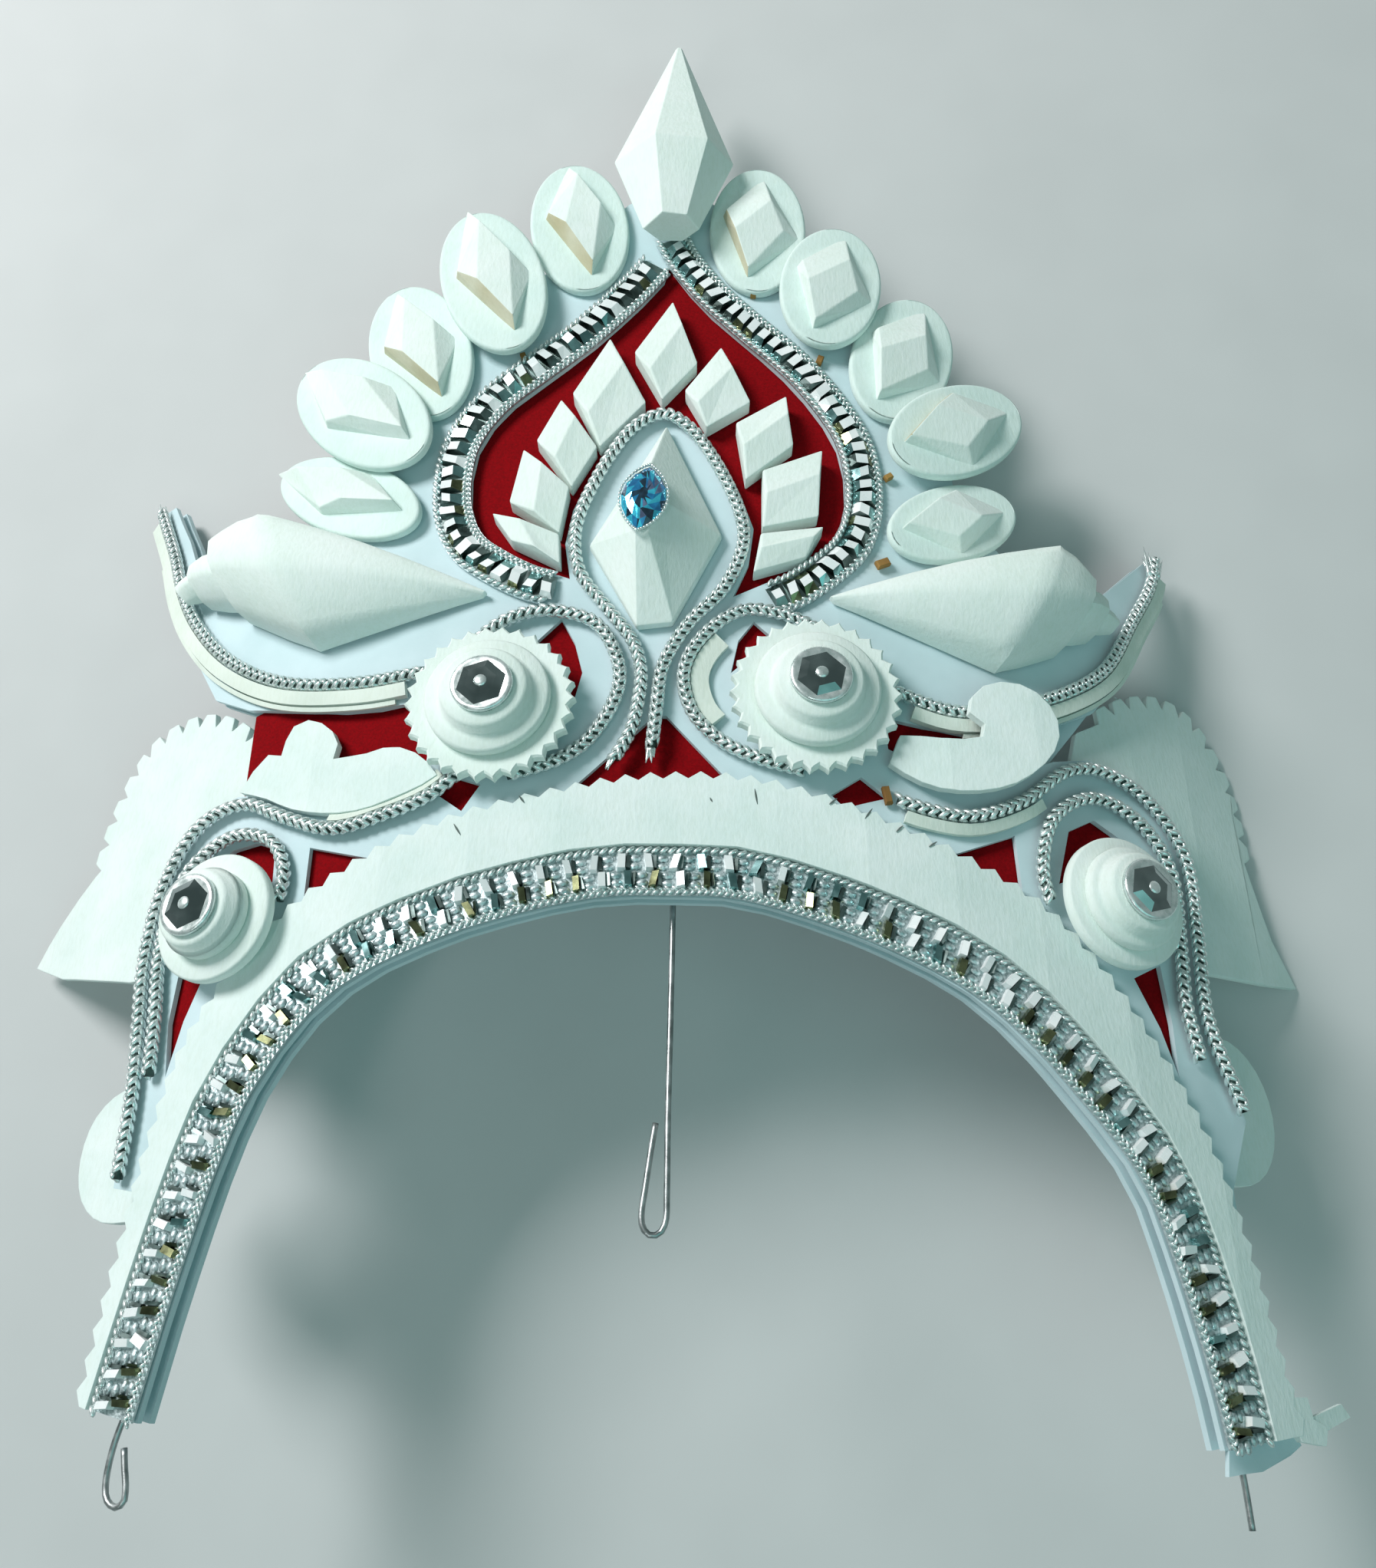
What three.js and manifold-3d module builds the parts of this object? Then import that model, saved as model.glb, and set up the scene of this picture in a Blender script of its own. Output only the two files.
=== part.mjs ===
// Bridal crown of carved white pith, card, red velvet paper and silver lace.
// It lies on its back, on the tips of its sides.
// Millimetres, +Z up. Pieces are laid out on the flat card: u runs to the right, v runs
// towards the peak and w rises from the back of the card. (0, 0) is under the middle of
// the forehead arch. The card is bent about its upright axis, so u follows the bend.

import * as THREE from 'three';
import { ConvexGeometry } from 'three/addons/geometries/ConvexGeometry.js';
import { ConvexHull } from 'three/addons/math/ConvexHull.js';
import { mergeVertices } from 'three/addons/utils/BufferGeometryUtils.js';
import Module from 'manifold-3d';

const wasm = await Module();
wasm.setup();

// Bend of the card: a flat middle, then a steady curve to both sides
const FLAT_HALF = 18;
const BEND_RADIUS = 147;
const FOLD_STEP = 14;
const FOLDS_PER_SIDE = 9;

// Layers of the card, from the back
const GAP = 0.3;
const BASE_TOP = 1.1;
const RED_LOW = BASE_TOP + GAP;
const RED_TOP = RED_LOW + 1.0;
const FRONT_LOW = RED_TOP + GAP;
const FRONT_TOP = FRONT_LOW + 1.0;
const SEAT = FRONT_TOP + GAP;
const RED_SEAT = RED_TOP + GAP;
const BACK_SEAT = -GAP;

// Silver cord and galvanised wire
const CORD_RADIUS = 1.3;
const CORD_SIDES = 6;
const CORD_STEP = 7;
const CORD_AXIS = SEAT + CORD_RADIUS;
const WIRE_RADIUS = 0.5;
const WIRE_SIDES = 6;

// Lace strips
const ARCH_LACE_HALF = 4.1;
const ARCH_LACE_PITCH = 4.5;
const ONION_LACE_HALF = 3.6;
const ONION_LACE_PITCH = 4.6;
const CARD_PAST_LACE = 0.1;

// Pith work
const BAND_THICK = 1.5;
const BAND_TOOTH_PITCH = 4.2;
const BAND_TOOTH_DEPTH = 1.3;
const PETAL_THICK = 1.8;
const PETAL_LEVEL = PETAL_THICK + 0.4;
const PETAL_SIDES = 24;
const WEDGE_HEIGHT = 3.4;
const WEDGE_SINK = 0.5;
const TEARDROP_RIM = 1.9;
const LOZENGE_WALL = 3.2;
const LOZENGE_HEIGHT = 4.6;
const BUD_WALL = 1.6;
const BUD_HEIGHT = 9.4;
const SPIRE_AXIS = 10;
const LEAF_THICK = 1.6;
const EAR_THICK = 1.3;
const HALF_DISC_THICK = 2.0;

// Rosettes: heights above the card and radii
const DISC_LOW = CORD_AXIS + CORD_RADIUS + GAP;
const DISC_THICK = 2.2;
const BOSS_LOW = DISC_LOW + DISC_THICK + GAP;
const BOSS_HEIGHT = 4.8;
const MIRROR_LOW = BOSS_LOW + BOSS_HEIGHT + GAP;
const MIRROR_RADIUS = 5.2;
const MIRROR_THICK = 1.5;

const PITH = { color: 0xe8efe6, roughness: 0.8, metalness: 0 };
const CARD = { color: 0xe3edf3, roughness: 0.7, metalness: 0 };
const RED = { color: 0x7c0712, roughness: 0.9, metalness: 0 };
const SILVER = { color: 0xc3cac8, roughness: 0.25, metalness: 1 };
const MIRROR = { color: 0xd3d8d6, roughness: 0.08, metalness: 1 };
const WIRE = { color: 0x9a9c9b, roughness: 0.45, metalness: 1 };
const STONE = { color: 0x3d8fd8, roughness: 0.05, metalness: 0.2 };

// Middle line of the arch lace from arm end to arm end, with the reach of the pith band
// columns: u, v, band reach
const ARCH = [
  [-80.8, -78.0, 7.0],
  [-76.3, -57.6, 8.7],
  [-71.7, -40.4, 10.8],
  [-66.2, -27.5, 12.6],
  [-54.9, -13.8, 13.4],
  [-36.8, -4.9, 15.4],
  [-14.6, 1.1, 16.0],
  [0.1, 1.9, 17.4],
  [14.7, 0.7, 17.4],
  [37.0, -7.3, 16.8],
  [53.4, -16.6, 16.6],
  [67.7, -31.3, 14.2],
  [76.8, -43.3, 11.6],
  [81.5, -57.7, 11.2],
  [84.7, -72.2, 10.8],
  [86.1, -81.9, 11.5],
];

// Middle line of the lace round the medallion, from the foot to the peak
// columns: u, v
const ONION_LEFT = [
  [-21.4, 56.2], [-25.0, 57.4], [-30.4, 60.6], [-36.2, 65.6], [-39.3, 73.1], [-39.9, 82.0],
  [-38.4, 90.3], [-33.3, 98.8], [-25.5, 106.4], [-17.7, 113.9], [-8.9, 124.3], [-3.1, 132.5],
];
const ONION_RIGHT = [
  [19.2, 54.0], [23.0, 56.0], [28.2, 60.3], [32.6, 65.4], [35.0, 72.3], [35.5, 81.0],
  [33.9, 90.1], [29.5, 99.0], [23.7, 107.4], [15.8, 116.3], [8.6, 124.7], [2.9, 133.6], [0.4, 139.4],
];

// Cords, all lying on the front card
// columns: u, v
const TEARDROP = [
  [-8.9, 21.8], [-6.4, 26.7], [-5.2, 32], [-4.7, 38.5], [-6.2, 44.4], [-11.3, 51.8], [-15.9, 58.6],
  [-17.0, 66.7], [-15.8, 72.9], [-10.4, 85.7], [-5.9, 92.0], [-0.8, 94.3], [3.4, 91.4], [8.3, 83.5],
  [13.0, 70.8], [13.3, 64.5], [9.7, 55.3], [3.6, 48.2], [-1.0, 39.4], [-1.9, 32], [-2.7, 23.8],
];
const CORDS = {
  scroll_cord_left: [
    [-33.5, 44.4], [-30.0, 47.9], [-25.3, 50.3], [-20.0, 50.7], [-12.8, 48.2], [-8.6, 40.0],
    [-8.8, 34], [-13.8, 24.9], [-18.8, 21.4], [-26.5, 18.8],
  ],
  scroll_cord_right: [
    [28.5, 45.0], [24.7, 47.7], [20.0, 50.0], [13.0, 50.8], [5.6, 45.0], [2.6, 38.2],
    [4.0, 30.8], [8.0, 25.9], [13.9, 22.4], [22.5, 19.6],
  ],
  wing_cord_left: [
    [-107.1, 91.1], [-100.3, 78.2], [-96.4, 69.0], [-90.7, 59.4], [-80.8, 48.6], [-68.1, 41.1],
    [-53.2, 38.6], [-41.1, 39.6],
  ],
  wing_cord_right: [
    [96.3, 75.7], [94.0, 69.0], [87.4, 58.6], [79.3, 46.3], [70.1, 39.4], [58.0, 34.2],
    [48.0, 32.4], [36.5, 36.0],
  ],
  side_cord_outer_left: [
    [-34.5, 19.5], [-39.2, 15.6], [-45.7, 13.0], [-55.1, 11.1], [-64.4, 14.4], [-72.6, 18.0],
    [-81.7, 15.1], [-87.6, 4.3], [-88.9, -8.0], [-87.6, -20.0], [-86.5, -31.5], [-86.6, -44.0],
  ],
  side_cord_outer_right: [
    [37.5, 14.8], [43.1, 13.2], [50.0, 12.8], [59.0, 16.5], [68.3, 23.6], [75.0, 24.8], [83.8, 21.4],
    [91.0, 12.0], [91.2, -2.5], [90.5, -18.0], [95.4, -32.6],
  ],
  side_cord_inner_left: [
    [-63.2, -0.8], [-62.9, 4.5], [-66.0, 10.2], [-73.5, 12.2], [-81.6, 7.6], [-85.0, 0], [-85.6, -8.0],
    [-84.4, -18.0], [-83.6, -28.0],
  ],
  side_cord_inner_right: [
    [62.0, -0.8], [61.3, 4.0], [64.6, 14.4], [72.9, 19.2], [82.0, 16.1], [87.2, 8.2], [86.9, -6.3],
    [86.1, -16.0], [87.4, -25.0],
  ],
};

// Outline of the card on each side, from the arm up to the peak
// columns: u, v, round (1 on a curve, 0 at a corner), notch (1 where only the front card turns in)
const SIDE_LEFT = [
  [-83.4, -46.0, 0, 0], [-88.9, -45.0, 0, 0], [-89.0, -31.0, 1, 0], [-91.2, -11.0, 1, 0],
  [-90.2, 3.0, 1, 0], [-83.5, 17.0, 1, 0], [-75.5, 20.6, 0, 0],
  [-66.0, 19.6, 0, 1], [-50.0, 20.5, 0, 1], [-40.6, 22.5, 0, 1], [-40.0, 28.0, 0, 1],
  [-43.0, 34.5, 0, 1], [-54.9, 33.9, 1, 1], [-75.8, 37.8, 0, 0],
  [-84.1, 41.8, 0, 0], [-95.1, 58.6, 1, 0], [-100.5, 68.2, 1, 0], [-105.0, 80.6, 1, 0],
  [-110.3, 92.5, 0, 0], [-105.5, 93.0, 0, 0], [-98.7, 81.9, 0, 0], [-93.5, 71.0, 0, 0],
  [-78.0, 70.0, 0, 0], [-57.0, 78.0, 0, 0], [-56.0, 92.0, 0, 0], [-47.0, 109.0, 0, 0],
  [-31.0, 125.0, 0, 0], [-20.0, 137.0, 0, 0], [-9.0, 150.0, 0, 0],
];
const SIDE_RIGHT = [
  [92.0, -45.0, 0, 0], [97.6, -33.6, 0, 0], [93.2, -18.0, 1, 0], [93.8, -2.0, 1, 0],
  [93.4, 12.8, 1, 0], [85.4, 23.7, 1, 0], [75.0, 27.4, 1, 0], [67.0, 26.0, 0, 0],
  [58.0, 22.0, 0, 1], [44.0, 21.5, 0, 1], [37.0, 25.0, 0, 1], [36.5, 31.0, 0, 1], [50.0, 29.0, 1, 1],
  [62.0, 30.6, 1, 1], [76.8, 37.6, 0, 0],
  [86.1, 49.1, 1, 0], [92.6, 61.7, 1, 0], [98.4, 71.2, 0, 0],
  [98.8, 78.1, 0, 0], [95.0, 75.3, 0, 0], [80.6, 62.0, 0, 0],
  [66.0, 63.0, 0, 0], [53.0, 76.0, 0, 0], [53.0, 92.0, 0, 0], [43.0, 110.0, 0, 0],
  [29.0, 126.0, 0, 0], [19.0, 138.0, 0, 0], [9.0, 150.0, 0, 0],
];
const CARD_TOP = [0, 157];
// Extra corners on the two inner folds, which keep the flat middle of the back in large faces
// columns: u, v
const BACK_POSTS = [[-FLAT_HALF, 16], [FLAT_HALF, 16], [-FLAT_HALF, 132], [FLAT_HALF, 132]];

// Outline of the red paper on each side, from the arch up to the peak
// columns: u, v
const RED_LEFT = [
  [-84.0, -33.0], [-89.3, -12.0], [-88.2, 3.0], [-82.0, 16.0], [-75.2, 21.0], [-75.2, 37.0],
  [-60.0, 41.0], [-45.0, 46.0], [-46.0, 72.0], [-45.5, 92.0], [-36.0, 105.0], [-20.0, 121.0], [-8.0, 137.0],
];
const RED_RIGHT = [
  [89.0, -33.0], [91.4, -12.0], [91.4, 10.0], [84.0, 22.0], [74.0, 25.0], [61.0, 26.0], [60.0, 36.0],
  [42.0, 46.0], [41.0, 72.0], [40.0, 92.0], [32.0, 105.0], [19.0, 121.0], [8.0, 137.0],
];
const RED_TIP = [0, 143];
const RED_PAST_LACE = 3.2;

// Windows in the front card that show the red paper
// columns: u, v
const WINDOWS = {
  sliver_left: [[-18.9, 50.0], [-23.0, 45.5], [-18.0, 38.0], [-16.2, 33.5], [-14.9, 39.1], [-16.4, 45.0]],
  sliver_right: [[15.0, 49.4], [12.2, 45.5], [10.8, 39.0], [13.0, 41.0], [18.5, 45.8]],
  arch_middle: [[-2.4, 30.6], [-0.3, 30.6], [12.6, 15.5], [-17.4, 15.5]],
  corner_left: [[-38.7, 21.0], [-39.6, 17.6], [-33.9, 13.3], [-31.0, 18.0]],
  corner_right: [[32.1, 19.4], [27.0, 16.0], [29.2, 13.6], [36.4, 15.8]],
  triangle_left: [[-59.6, 8.8], [-59.6, -4.0], [-46.5, 5.2]],
  triangle_right: [[45.0, 5.6], [58.3, -3.5], [57.9, 10.8]],
  crescent_left: [[-78.5, 8.2], [-72.5, 3.0], [-66.0, 3.5], [-66.3, 9.5], [-70.0, 11.0], [-74.7, 10.3]],
  crescent_right: [[65.2, 3.0], [73.5, 7.0], [78.5, 13.3], [73.5, 15.8], [68.3, 13.0]],
  slit_left: [[-82.3, -9.0], [-83.0, -19.0], [-81.8, -28.0], [-79.8, -19.0], [-77.5, -13.0]],
  slit_right: [[77.5, -12.0], [81.5, -20.0], [84.0, -28.0], [84.2, -19.0], [83.4, -9.0]],
};

// Pith petals, from the lace outwards, laid like scales in two levels
// columns: root u, root v, tip u, tip v, width, level, wedge reach (share of the length)
const PETALS = {
  petal_left_1: [-16.3, 124.6, -21.0, 159.6, 20.0, 0, 0.50],
  petal_left_2: [-29.0, 108.2, -40.0, 145.0, 20.5, 1, 0.54],
  petal_left_3: [-42.4, 95.5, -54.5, 129.6, 20.5, 0, 0.49],
  petal_left_4: [-44.5, 84.5, -71.0, 110.6, 20.5, 1, 0.52],
  petal_left_5: [-44.8, 71.0, -74.5, 88.0, 16.0, 0, 0.55],
  petal_right_1: [17.1, 124.2, 18.0, 158.4, 19.5, 0, 0.43],
  petal_right_2: [28.2, 109.2, 33.6, 140.0, 20.0, 1, 0.44],
  petal_right_3: [39.2, 94.4, 49.6, 125.2, 20.0, 0, 0.45],
  petal_right_4: [40.0, 83.4, 65.8, 100.8, 19.5, 1, 0.43],
  petal_right_5: [39.0, 66.2, 64.0, 78.0, 16.0, 0, 0.43],
};

// Carved block on a petal: a ridge that runs beside its upper left edge, and a broad slope to the right
// columns: x (share of the width), y (share of the length), y (share of the reach), rise (0 for the foot)
const BLOCKS = {
  left: [
    [-0.03, 0, 1, 0], [-0.34, 0.08, 0, 0], [0.05, -0.4, 0, 0], [0.38, -0.04, 0, 0], [-0.3, 0.07, 0, 0.55],
    [0.08, -0.35, 0, 0.7], [0.05, 0, 0.62, 1], [-0.14, -0.06, 0, 1], [0.24, 0.08, 0, 0.85],
  ],
  right: [
    [0.06, 0, 1, 0], [-0.37, 0.1, 0, 0], [-0.1, -0.4, 0, 0], [0.45, -0.08, 0, 0], [-0.33, 0.095, 0, 0.55],
    [-0.1, -0.36, 0, 0.5], [0.13, 0, 0.3, 1], [-0.24, -0.1, 0, 1], [0.26, -0.08, 0, 0.65],
  ],
};

// Pith lozenges round the bud, each by its four corners
// columns: tip, left, root, right
const LOZENGES = {
  lozenge_top: [[0.4, 121.6], [-6.9, 108.8], [-1.5, 97.3], [5.2, 106.0]],
  lozenge_left_1: [[-11.7, 112.2], [-18.5, 98.7], [-13.0, 86.2], [-4.6, 96.6]],
  lozenge_left_2: [[-20.6, 97.2], [-24.8, 87.6], [-17.9, 77.0], [-13.5, 86.0]],
  lozenge_left_3: [[-27.0, 85.6], [-29.0, 73.8], [-19.6, 66.8], [-18.2, 76.8]],
  lozenge_left_4: [[-32.0, 71.4], [-28.2, 65.4], [-19.2, 60.2], [-19.6, 66.4]],
  lozenge_right_1: [[9.8, 110.0], [2.8, 99.4], [6.9, 90.7], [15.2, 96.6]],
  lozenge_right_2: [[22.0, 98.0], [12.4, 91.6], [14.0, 78.6], [23.0, 86.4]],
  lozenge_right_3: [[28.2, 85.4], [17.0, 80.6], [16.7, 68.0], [26.9, 70.5]],
  lozenge_right_4: [[27.8, 68.2], [16.4, 66.6], [14.9, 58.4], [24.4, 61.6]],
};

// Carved bud, by its four corners and the small flat that carries the stone
const BUD = [[-0.6, 91.2], [-14.3, 64.2], [-5.6, 47.4], [0.8, 48.2], [9.5, 66.4]];
const BUD_FLAT = { u: -4.4, v: 68.4, half_width: 3.2, half_length: 6.4 };
const STONE_SIZE = { width: 8.4, length: 13.4, girdle: 1.1, height: 2.9, table: 0.52, turn: -0.14 };

// Spire, from its cut foot to its tip: cross-sections that lie across its axis
// columns: along, half width, front height, back depth
const SPIRE = [
  [0, 5.6, 4.4, 3.0],
  [18.2, 12.2, 7.4, 6.0],
  [52.6, 0.7, 0.5, 0.5],
];
// Ridges of the spire on its front and back, as shares of its half width
const SPIRE_RIDGES = { front_left: -0.3, front_right: 0.56, back: 0.42 };
const SPIRE_FOOT = { u: 0, v: 136.6, turn: -0.028 };

// Carved shells, cut across from nose to tail
// columns: low u, low v, top u, top v, height
const CONCHES = {
  conch_left: [
    [-32.6, 54.4, -32.0, 55.2, 1.6],
    [-62.0, 46.9, -72.5, 75.6, 13.5],
    [-77.0, 56.2, -81.5, 71.4, 11.5],
    [-78.6, 58.4, -82.2, 69.2, 8.5],
    [-86.4, 61.0, -88.8, 68.4, 7.0],
    [-87.2, 62.4, -89.2, 66.8, 5.0],
    [-91.6, 63.6, -92.0, 64.6, 1.6],
  ],
  conch_right: [
    [28.8, 53.0, 28.2, 53.9, 1.6],
    [57.0, 41.6, 67.5, 67.0, 13.5],
    [68.5, 47.6, 73.4, 60.8, 11.5],
    [71.0, 49.8, 73.8, 58.4, 8.5],
    [79.4, 52.4, 80.4, 54.4, 2.0],
  ],
};
// Facets across a shell. columns: share across, share of the height
const CONCH_FACETS = [[0, 0], [0.08, 0.42], [0.42, 0.95], [0.72, 1.0], [1.0, 0.5], [1.0, 0]];

// Thin comma leaves
// columns: u, v, round
const COMMA_LEFT = [
  [-73.5, 20.3, 0], [-68.3, 18.4, 1], [-64.0, 16.1, 1], [-59.8, 14.6, 1], [-54.2, 13.9, 1], [-48.9, 14.4, 1],
  [-43.8, 16.2, 1], [-40.3, 17.8, 1], [-37.9, 19.4, 0], [-38.9, 21.0, 1], [-41.3, 23.4, 1], [-44.0, 24.8, 1],
  [-46.7, 25.3, 1], [-50.0, 24.5, 1], [-56.3, 24.1, 0], [-55.8, 27.5, 1], [-57.5, 30.0, 1], [-60.2, 32.0, 1],
  [-62.1, 32.4, 1], [-64.3, 31.8, 1], [-65.5, 30.2, 1], [-66.3, 26.2, 0], [-68.9, 26.8, 0], [-71.5, 24.0, 0],
];
const COMMA_RIGHT = [
  [36.4, 21.2, 0], [40.0, 18.4, 1], [43.7, 16.6, 1], [47.5, 16.0, 1], [51.5, 16.3, 1], [55.4, 17.4, 1],
  [58.9, 19.6, 1], [61.8, 22.6, 1], [63.6, 26.0, 1], [63.9, 29.6, 1], [62.6, 33.1, 1], [60.2, 35.6, 1],
  [57.4, 36.8, 1], [54.6, 36.8, 1], [52.1, 35.8, 1], [50.4, 33.9, 1], [49.7, 30.8, 0], [52.0, 28.6, 0],
  [51.4, 26.2, 0], [47.1, 25.6, 1], [42.0, 26.2, 1], [38.4, 26.4, 0],
];
const COMMA_RIGHT_RISE = { from_u: 34, slope: 0.19 };

// Toothed ears: the toothed rim, then the plain hem down to the tip and back
// columns: u, v
const EARS = {
  ear_left: {
    rim: [[-74.0, 32.6], [-83.1, 39.9], [-94.8, 42.5], [-107.0, 38.5], [-114.1, 27.5], [-117.0, 16.4]],
    hem: [[-121.3, 11.5], [-126.5, 7.5], [-133.7, 0.5], [-121.3, -4.1], [-98.8, -8.7], [-84.0, -9.0],
      [-72.0, 6.0], [-70.5, 24.0]],
  },
  ear_right: {
    rim: [[80.0, 40.4], [88.6, 45.5], [99.3, 48.0], [110.0, 44.5], [117.6, 32.5], [119.4, 18.0]],
    hem: [[120.2, 8.4], [122.2, 3.4], [128.4, -4.6], [116.1, -6.2], [98.8, -7.2], [86.0, -8.0],
      [73.0, 6.0], [72.0, 24.0], [75.5, 35.0]],
  },
};
const EAR_TEETH = 12;
const EAR_TOOTH_DEPTH = 2.6;

// Half discs behind the arms
// columns: u, v, radius, turn of the round side
const HALF_DISCS = {
  half_disc_left: [-92.8, -38.7, 11.0, Math.PI],
  half_disc_right: [98.6, -30.9, 12.5, 0],
};
const HALF_DISC_TONGUE = 6;

// Rosettes
// columns: u, v, disc radius, teeth, stem radius, boss radius, plug radius
const ROSETTES = {
  rosette_left: [-29.3, 31.0, 14.6, 30, 8.0, 10.6, 7.4],
  rosette_right: [24.6, 32.4, 14.6, 30, 8.0, 10.6, 7.4],
  side_rosette_left: [-72.5, -3.6, 10.9, 0, 5.4, 7.6, 6.6],
  side_rosette_right: [73.8, -0.8, 11.3, 0, 5.4, 8.8, 6.8],
};
const ROSETTE_TOOTH = 1.2;

// Wires behind the card
// columns: u, v
const ARCH_WIRE_LEFT = [[-82.6, -82.0], [-81.2, -88.0], [-82.6, -90.2], [-84.4, -88.0], [-84.6, -80.0]];
const ARCH_WIRE_RIGHT = [[88.4, -82.0], [89.2, -93.6]];
const ARCH_WIRE_DEPTH = BACK_SEAT - WIRE_RADIUS - 0.15;
const CENTRE_WIRE = [
  [1.0, 10.0], [0.9, -2.0], [0.6, -20.0], [0.3, -40.0], [0.1, -50.6], [-1.6, -54.0], [-3.6, -52.2],
  [-2.6, -44.0], [-1.6, -37.0],
];
const CENTRE_WIRE_DEPTH = ARCH_WIRE_DEPTH - 2 * WIRE_RADIUS - GAP;

// Turns a point of the flat layout into a point of the bent card
function bend(u, v, w) {
  const side = Math.sign(u);
  const angle = Math.max(Math.abs(u) - FLAT_HALF, 0) / BEND_RADIUS;
  const radius = BEND_RADIUS + w;
  const x = side * (Math.min(Math.abs(u), FLAT_HALF) + radius * Math.sin(angle));
  return new THREE.Vector3(x, v, radius * Math.cos(angle) - BEND_RADIUS);
}

// Fold lines that stand in for the smooth bend on the card sheets
const FOLDS = [];
for (let i = FOLDS_PER_SIDE - 1; i >= 0; i -= 1) {
  FOLDS.push(-FLAT_HALF - i * FOLD_STEP);
}
for (let i = 0; i < FOLDS_PER_SIDE; i += 1) {
  FOLDS.push(FLAT_HALF + i * FOLD_STEP);
}

// Number of the flat strip between two folds that holds u
function stripOf(u) {
  let strip = 0;
  while (strip < FOLDS.length && u > FOLDS[strip]) {
    strip += 1;
  }
  return strip;
}

// Like bend, but flat between the folds
function fold(u, v, w) {
  const strip = stripOf(u);
  if (strip === 0 || strip === FOLDS.length) {
    return bend(u, v, w);
  }
  const from = FOLDS[strip - 1];
  const to = FOLDS[strip];
  return bend(from, v, w).lerp(bend(to, v, w), (u - from) / (to - from));
}

// Smooth line through rows of u and v, as evenly spaced points
function curve(rows, spacing) {
  const line = new THREE.SplineCurve(rows.map(([u, v]) => new THREE.Vector2(u, v)));
  return line.getSpacedPoints(Math.max(1, Math.round(line.getLength() / spacing)));
}

// Outline through rows of u, v and round: straight between corners, curved between round rows
function traceOutline(rows, spacing) {
  const points = [];
  let run = [rows[0]];
  for (const row of rows.slice(1)) {
    run.push(row);
    if (!row[2]) {
      const piece = run.length > 2 ? curve(run, spacing) : run.map(([u, v]) => new THREE.Vector2(u, v));
      points.push(...piece.slice(0, -1));
      run = [row];
    }
  }
  const last = new THREE.Vector2(run[0][0], run[0][1]);
  points.push(...(run.length > 1 ? curve([...run, rows[0]], spacing).slice(0, -1) : [last]));
  return points;
}

// Moves each point of a line sideways, to the left of its run
function offset(points, distance) {
  return points.map((point, i) => {
    const before = points[Math.max(i - 1, 0)];
    const after = points[Math.min(i + 1, points.length - 1)];
    const along = after.clone().sub(before).normalize();
    return new THREE.Vector2(point.x - along.y * distance, point.y + along.x * distance);
  });
}

// Geometry from loose triangles, closed and facing out
function closedBody(triangles) {
  const positions = new Float32Array(triangles.length * 3);
  triangles.forEach((point, i) => point.toArray(positions, i * 3));
  let geometry = new THREE.BufferGeometry();
  geometry.setAttribute('position', new THREE.BufferAttribute(positions, 3));
  geometry = mergeVertices(geometry, 1e-4);
  return facingOut(geometry);
}

function plainGeometry(geometry) {
  const plain = geometry.clone();
  plain.deleteAttribute('normal');
  plain.deleteAttribute('uv');
  return facingOut(mergeVertices(plain, 1e-4));
}

// Turns the faces round where the signed volume says that they face in
function facingOut(geometry) {
  const position = geometry.attributes.position;
  const index = geometry.index;
  const [a, b, c] = [new THREE.Vector3(), new THREE.Vector3(), new THREE.Vector3()];
  let volume = 0;
  for (let i = 0; i < index.count; i += 3) {
    a.fromBufferAttribute(position, index.getX(i));
    b.fromBufferAttribute(position, index.getX(i + 1));
    c.fromBufferAttribute(position, index.getX(i + 2));
    volume += a.dot(b.cross(c));
  }
  if (volume < 0) {
    for (let i = 0; i < index.count; i += 3) {
      const first = index.getX(i);
      index.setX(i, index.getX(i + 1));
      index.setX(i + 1, first);
    }
  }
  return geometry;
}

// Splits closed rings at the folds into the flat strips between them
function splitAtFolds(rings) {
  const strips = Array.from({ length: FOLDS.length + 1 }, () => ({ loops: [], chains: [] }));
  for (const ring of rings) {
    const points = [];
    ring.forEach((from, i) => {
      const to = ring[(i + 1) % ring.length];
      points.push({ point: from, onFold: false });
      const crossed = FOLDS.filter((line) => (from.x - line) * (to.x - line) < 0);
      crossed.sort((first, second) => (to.x > from.x ? first - second : second - first));
      for (const line of crossed) {
        const share = (line - from.x) / (to.x - from.x);
        points.push({ point: new THREE.Vector2(line, from.y + share * (to.y - from.y)), onFold: true });
      }
    });
    const start = points.findIndex((entry) => entry.onFold);
    if (start < 0) {
      strips[stripOf(ring[0].x)].loops.push(ring);
      continue;
    }
    let chain = [points[start].point];
    for (let step = 1; step <= points.length; step += 1) {
      const entry = points[(start + step) % points.length];
      chain.push(entry.point);
      if (entry.onFold) {
        const middle = chain[0].clone().add(chain[1]).multiplyScalar(0.5);
        strips[stripOf(middle.x)].chains.push(chain);
        chain = [entry.point];
      }
    }
  }
  return strips;
}

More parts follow.
